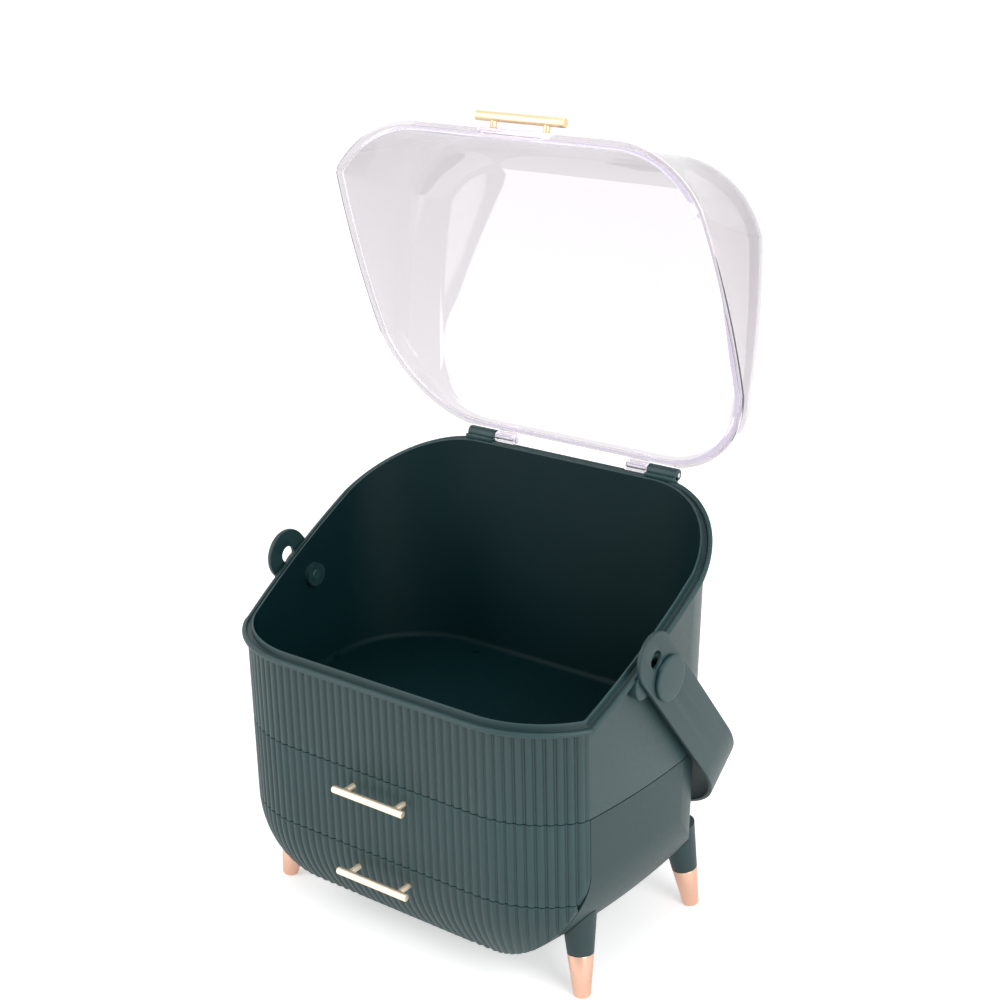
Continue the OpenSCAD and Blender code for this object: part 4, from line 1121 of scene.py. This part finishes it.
class ORGANIZER_OT_handle(bpy.types.Operator):
    """Build the carry handle from one flat strap with rounded edges, and the heads of its studs"""

    bl_idname = "organizer.make_handle"
    bl_label = "Carry handle"

    def execute(self, context):
        plan = Plan()
        h, b, r = Sizes("handle"), plan.b, plan.r
        arm_x = b.width / 2 + r.flange_out + h.arm_gap
        mid_r = h.bend_r + h.strap_t / 2
        bend = mid_r * math.pi / 2
        half_bar = arm_x + h.strap_t / 2 - mid_r
        half = half_bar + bend + h.arm_len
        points, faces = self.flat_strap(h, half, half_bar, bend)
        place = Matrix.Translation((0, h.pivot_y, h.pivot_z)) @ Matrix.Rotation(-h.rest, 4, "X")
        length, out = np.abs(points[:, 0]), points[:, 2]
        side = np.sign(points[:, 0])
        turn = np.clip((length - half_bar) / mid_r, 0, math.pi / 2)
        reach = mid_r + out
        x = np.minimum(length, half_bar) + reach * np.sin(turn)
        y = h.arm_len + reach * np.cos(turn) - np.maximum(0, length - half_bar - bend)
        bent = np.column_stack([side * x, y, points[:, 1]])
        piece("handle_strap", [(moved(bent, place), faces)], body_green(), "handle", ["carry_handle"],
              sharp=50)
        wall_x = plan.bow_x + math.sqrt(b.side_bow_r**2 - (h.pivot_y - b.side_bow_y) ** 2)
        for s, name in ((-1, "left"), (1, "right")):
            near = arm_x + h.strap_t + 0.3
            out_way = Matrix.Translation((0, h.pivot_y, h.pivot_z)) @ Matrix.Rotation(s * math.pi / 2, 4, "Y")
            start = wall_x - r.wall - 4.5
            half_head = h.head_d / 2
            profile = [
                (0, start), (h.stud_d / 2 - 0.5, start), (h.stud_d / 2, start + 0.5), (h.stud_d / 2, near),
                (half_head - 0.6, near), (half_head - 0.15, near + 0.2), (half_head, near + 0.6),
                (half_head, near + h.head_t - 1.0), (half_head - 0.3, near + h.head_t - 0.4),
                (half_head - 1.0, near + h.head_t - 0.1), (half_head - 2.0, near + h.head_t), (0, near + h.head_t),
            ]
            head = lathe(profile, out_way, 72)
            piece("stud_" + name, [head], body_green(), "body", ["handle_stud_" + name])
        return {"FINISHED"}

    def flat_strap(self, h, half, half_bar, bend):
        """The strap before it is bent: x runs along it, y across it and z outwards."""
        line = bpy.data.curves.new("strap outline", "CURVE")
        line.dimensions = "2D"
        line.fill_mode = "BOTH"
        line.extrude = h.strap_t / 2 - h.edge_r
        line.bevel_depth = h.edge_r
        line.bevel_resolution = 2
        line.offset = -h.edge_r

        def add_loop(points):
            spline = line.splines.new("POLY")
            spline.points.add(len(points) - 1)
            for point, (x, y) in zip(spline.points, points):
                point.co = (x, y, 0, 1)
            spline.use_cyclic_u = True

        def circle(x, d, n=48):
            turns = [2 * math.pi * i / n for i in range(n)]
            return [(x + d / 2 * math.cos(a), d / 2 * math.sin(a)) for a in turns]

        w = h.strap_w / 2
        far = half + h.arm_fore
        arcs = [math.pi * (i / 40 - 0.5) for i in range(41)]
        right = [(far + w * math.cos(a), w * math.sin(a)) for a in arcs]
        add_loop(right + [(-x, -y) for x, y in right])
        for s in (-1, 1):
            add_loop(circle(s * half, h.stud_d + 0.1))
            add_loop(circle(s * far, h.hole_d))
        obj = bpy.data.objects.new("strap outline", line)
        bpy.context.scene.collection.objects.link(obj)
        bpy.context.view_layer.update()
        depsgraph = bpy.context.evaluated_depsgraph_get()
        mesh = bpy.data.meshes.new_from_object(obj.evaluated_get(depsgraph))
        bpy.data.objects.remove(obj)
        bm = bmesh.new()
        bm.from_mesh(mesh)
        bpy.data.meshes.remove(mesh)
        bmesh.ops.remove_doubles(bm, verts=bm.verts[:], dist=0.01)
        steps = 30
        cuts = [half_bar + bend * i / steps for i in range(steps + 1)]
        for x in cuts + [-c for c in cuts]:
            bmesh.ops.bisect_plane(
                bm, geom=bm.verts[:] + bm.edges[:] + bm.faces[:], plane_co=(x, 0, 0), plane_no=(1, 0, 0), dist=0.001
            )
        bmesh.ops.recalc_face_normals(bm, faces=bm.faces[:])
        points = np.array([v.co[:] for v in bm.verts])
        faces = [[v.index for v in f.verts] for f in bm.faces]
        bm.free()
        return points, faces


class ORGANIZER_OT_legs(bpy.types.Operator):
    """Build the rose gold leg tips and give the legs their finish"""

    bl_idname = "organizer.make_legs"
    bl_label = "Legs"

    def execute(self, context):
        g, f = Sizes("legs"), Sizes("finishes")
        tilt = math.atan(math.sqrt(2) * g.splay / g.tip_h)
        rose = metal("Rose gold", f.rose, 0.2, (60, 60, 1))
        for s, x_name in ((-1, "left"), (1, "right")):
            for t, y_name in ((-1, "front"), (1, "rear")):
                name = y_name + "_" + x_name
                place = (
                    Matrix.Translation((s * g.foot_x, t * g.foot_y, 0))
                    @ Matrix.Rotation(math.atan2(-t, -s), 4, "Z")
                    @ Matrix.Rotation(tilt, 4, "Y")
                )
                grow = (g.joint_d - g.foot_d) / g.tip_h / 2
                foot, joint = g.foot_d / 2, g.joint_d / 2
                low = [(0, -0.3), (foot - 1.6, -0.3), (foot - 0.6, 0.0), (foot - 0.1, 0.7), (foot + 0.2 * grow, 1.6)]
                high = [(joint - 0.6 * grow, g.tip_h - 0.6), (joint - 0.35, g.tip_h - 0.1), (joint - 0.8, g.tip_h),
                        (0, g.tip_h)]
                points, faces = lathe(low + high, place, 64)
                points[:, 2] = np.maximum(points[:, 2], 0)
                piece("tip_" + name, [(points, faces)], rose, "body", ["leg_tip_" + name], sharp=40)
        dress(["leg_front_left", "leg_front_right", "leg_rear_left", "leg_rear_right"], deep_green())
        return {"FINISHED"}


class ORGANIZER_OT_inner_pieces(bpy.types.Operator):
    """Give the casing, shelf, trays, spacers, nuts, pins and screws their finish"""

    bl_idname = "organizer.finish_inner_pieces"
    bl_label = "Casing and inner pieces"

    def execute(self, context):
        f = Sizes("finishes")
        steel = metal("Steel", f.steel, 0.3, (1, 1, 40))
        dress(["casing", "drawer_shelf", "upper_drawer_tray", "lower_drawer_tray"], deep_green())
        dress(["spacer_left", "spacer_right", "stud_nut_left", "stud_nut_right"], deep_green())
        # The screws inside the bin take the same painted shade as its inner walls.
        dress(["bin_screws"], shaded_inner_green())
        dress(["hinge_pin_left", "hinge_pin_right", "leg_screws", "upper_bar_screws", "lower_bar_screws"], steel)
        return {"FINISHED"}


def seen_rays(tree):
    """A mask of the rays that show the background to the eye, straight, mirrored or through the clear lid."""
    path = tree.nodes.new("ShaderNodeLightPath")
    seen = path.outputs["Is Camera Ray"]
    for kind in ("Is Glossy Ray", "Is Transmission Ray"):
        seen = add(tree, "ShaderNodeMath", {"operation": "MAXIMUM"}, i0=seen, i1=path.outputs[kind]).outputs[0]
    return seen


class ORGANIZER_OT_stage(bpy.types.Operator):
    """Build the pale floor, the soft lamps and the camera"""

    bl_idname = "organizer.make_stage"
    bl_label = "Stage"

    def execute(self, context):
        scene = context.scene
        s = Sizes("studio")
        scene.view_settings.view_transform = "Standard"
        self.floor(s)
        self.sky(scene, s)
        for lamp in LAMPS:
            self.lamp(*lamp)
        camera = bpy.data.cameras.new("Camera")
        camera.lens, camera.sensor_width = s.lens, 36
        camera.clip_start, camera.clip_end = 0.05, 60
        seat = bpy.data.objects.new("Camera", camera)
        right, up = Vector(s.right).normalized(), Vector(s.up).normalized()
        back = right.cross(up)
        seat.matrix_world = Matrix.Translation(s.place) @ Matrix((right, up, back)).transposed().to_4x4()
        scene.collection.objects.link(seat)
        scene.camera = seat
        return {"FINISHED"}

    def floor(self, s):
        """A wide round floor that stays white to the camera and keeps the shadow."""
        bm = bmesh.new()
        bmesh.ops.create_circle(bm, cap_ends=True, segments=96, radius=14)
        mesh = bpy.data.meshes.new("floor")
        bm.to_mesh(mesh)
        bm.free()
        material, tree, shader, _ = new_material("Pale floor")
        shader.inputs["Base Color"].default_value = rgba(s.floor)
        shader.inputs["Roughness"].default_value = 0.9
        shader.inputs["Specular IOR Level"].default_value = 0.1
        lift = add(tree, "ShaderNodeMath", {"operation": "MULTIPLY"}, i0=seen_rays(tree), i1=s.floor_lift)
        shader.inputs["Emission Color"].default_value = (1, 1, 1, 1)
        tree.links.new(lift.outputs[0], shader.inputs["Emission Strength"])
        mesh.materials.append(material)
        floor = bpy.data.objects.new("floor", mesh)
        floor.location.z = -0.0002
        bpy.context.scene.collection.objects.link(floor)

    def sky(self, scene, s):
        """Even soft light, white where it is seen."""
        world = bpy.data.worlds.new("Studio")
        world.use_nodes = True
        tree = world.node_tree
        tree.nodes.clear()
        out = tree.nodes.new("ShaderNodeOutputWorld")
        strength = add(tree, "ShaderNodeMapRange", Value=seen_rays(tree), i3=s.sky, i4=1.0)
        sky = add(tree, "ShaderNodeBackground", Color=(1, 1, 1, 1), Strength=strength.outputs[0])
        tree.links.new(sky.outputs[0], out.inputs["Surface"])
        scene.world = world

    def lamp(self, name, place, aim, extent, power):
        """A rectangular soft lamp."""
        light = bpy.data.lights.new(name, "AREA")
        light.shape = "RECTANGLE"
        light.size, light.size_y = extent
        light.energy = power
        obj = bpy.data.objects.new(name, light)
        obj.location = place
        obj.rotation_mode = "QUATERNION"
        obj.rotation_quaternion = (Vector(aim) - Vector(place)).to_track_quat("-Z", "Y")
        bpy.context.scene.collection.objects.link(obj)


OPERATORS = [
    ORGANIZER_OT_bin,
    ORGANIZER_OT_drawer_fronts,
    ORGANIZER_OT_pull_bars,
    ORGANIZER_OT_lid,
    ORGANIZER_OT_handle,
    ORGANIZER_OT_legs,
    ORGANIZER_OT_inner_pieces,
    ORGANIZER_OT_stage,
]


class ORGANIZER_PT_panel(bpy.types.Panel):
    """The sizes, the finishes and the steps that build the organizer"""

    bl_label = "Makeup organizer"
    bl_idname = "ORGANIZER_PT_panel"
    bl_space_type = "VIEW_3D"
    bl_region_type = "UI"
    bl_category = "Organizer"

    def draw(self, context):
        for operator in OPERATORS:
            self.layout.operator(operator.bl_idname)
        for key, group in GROUPS.items():
            box = self.layout.box()
            box.label(text=group.__doc__)
            settings = getattr(context.scene, "organizer_" + key)
            for name in group.__annotations__:
                box.prop(settings, name)


def register():
    for key, group in GROUPS.items():
        bpy.utils.register_class(group)
        setattr(bpy.types.Scene, "organizer_" + key, PointerProperty(type=group))
    for operator in OPERATORS:
        bpy.utils.register_class(operator)
    bpy.utils.register_class(ORGANIZER_PT_panel)


def unregister():
    bpy.utils.unregister_class(ORGANIZER_PT_panel)
    for operator in reversed(OPERATORS):
        bpy.utils.unregister_class(operator)
    for key, group in reversed(GROUPS.items()):
        delattr(bpy.types.Scene, "organizer_" + key)
        bpy.utils.unregister_class(group)


def main():
    register()
    bpy.ops.organizer.make_bin()
    bpy.ops.organizer.make_drawer_fronts()
    bpy.ops.organizer.make_pull_bars()
    bpy.ops.organizer.make_lid()
    bpy.ops.organizer.make_handle()
    bpy.ops.organizer.make_legs()
    bpy.ops.organizer.finish_inner_pieces()
    bpy.ops.organizer.make_stage()


if __name__ == "__main__":
    main()
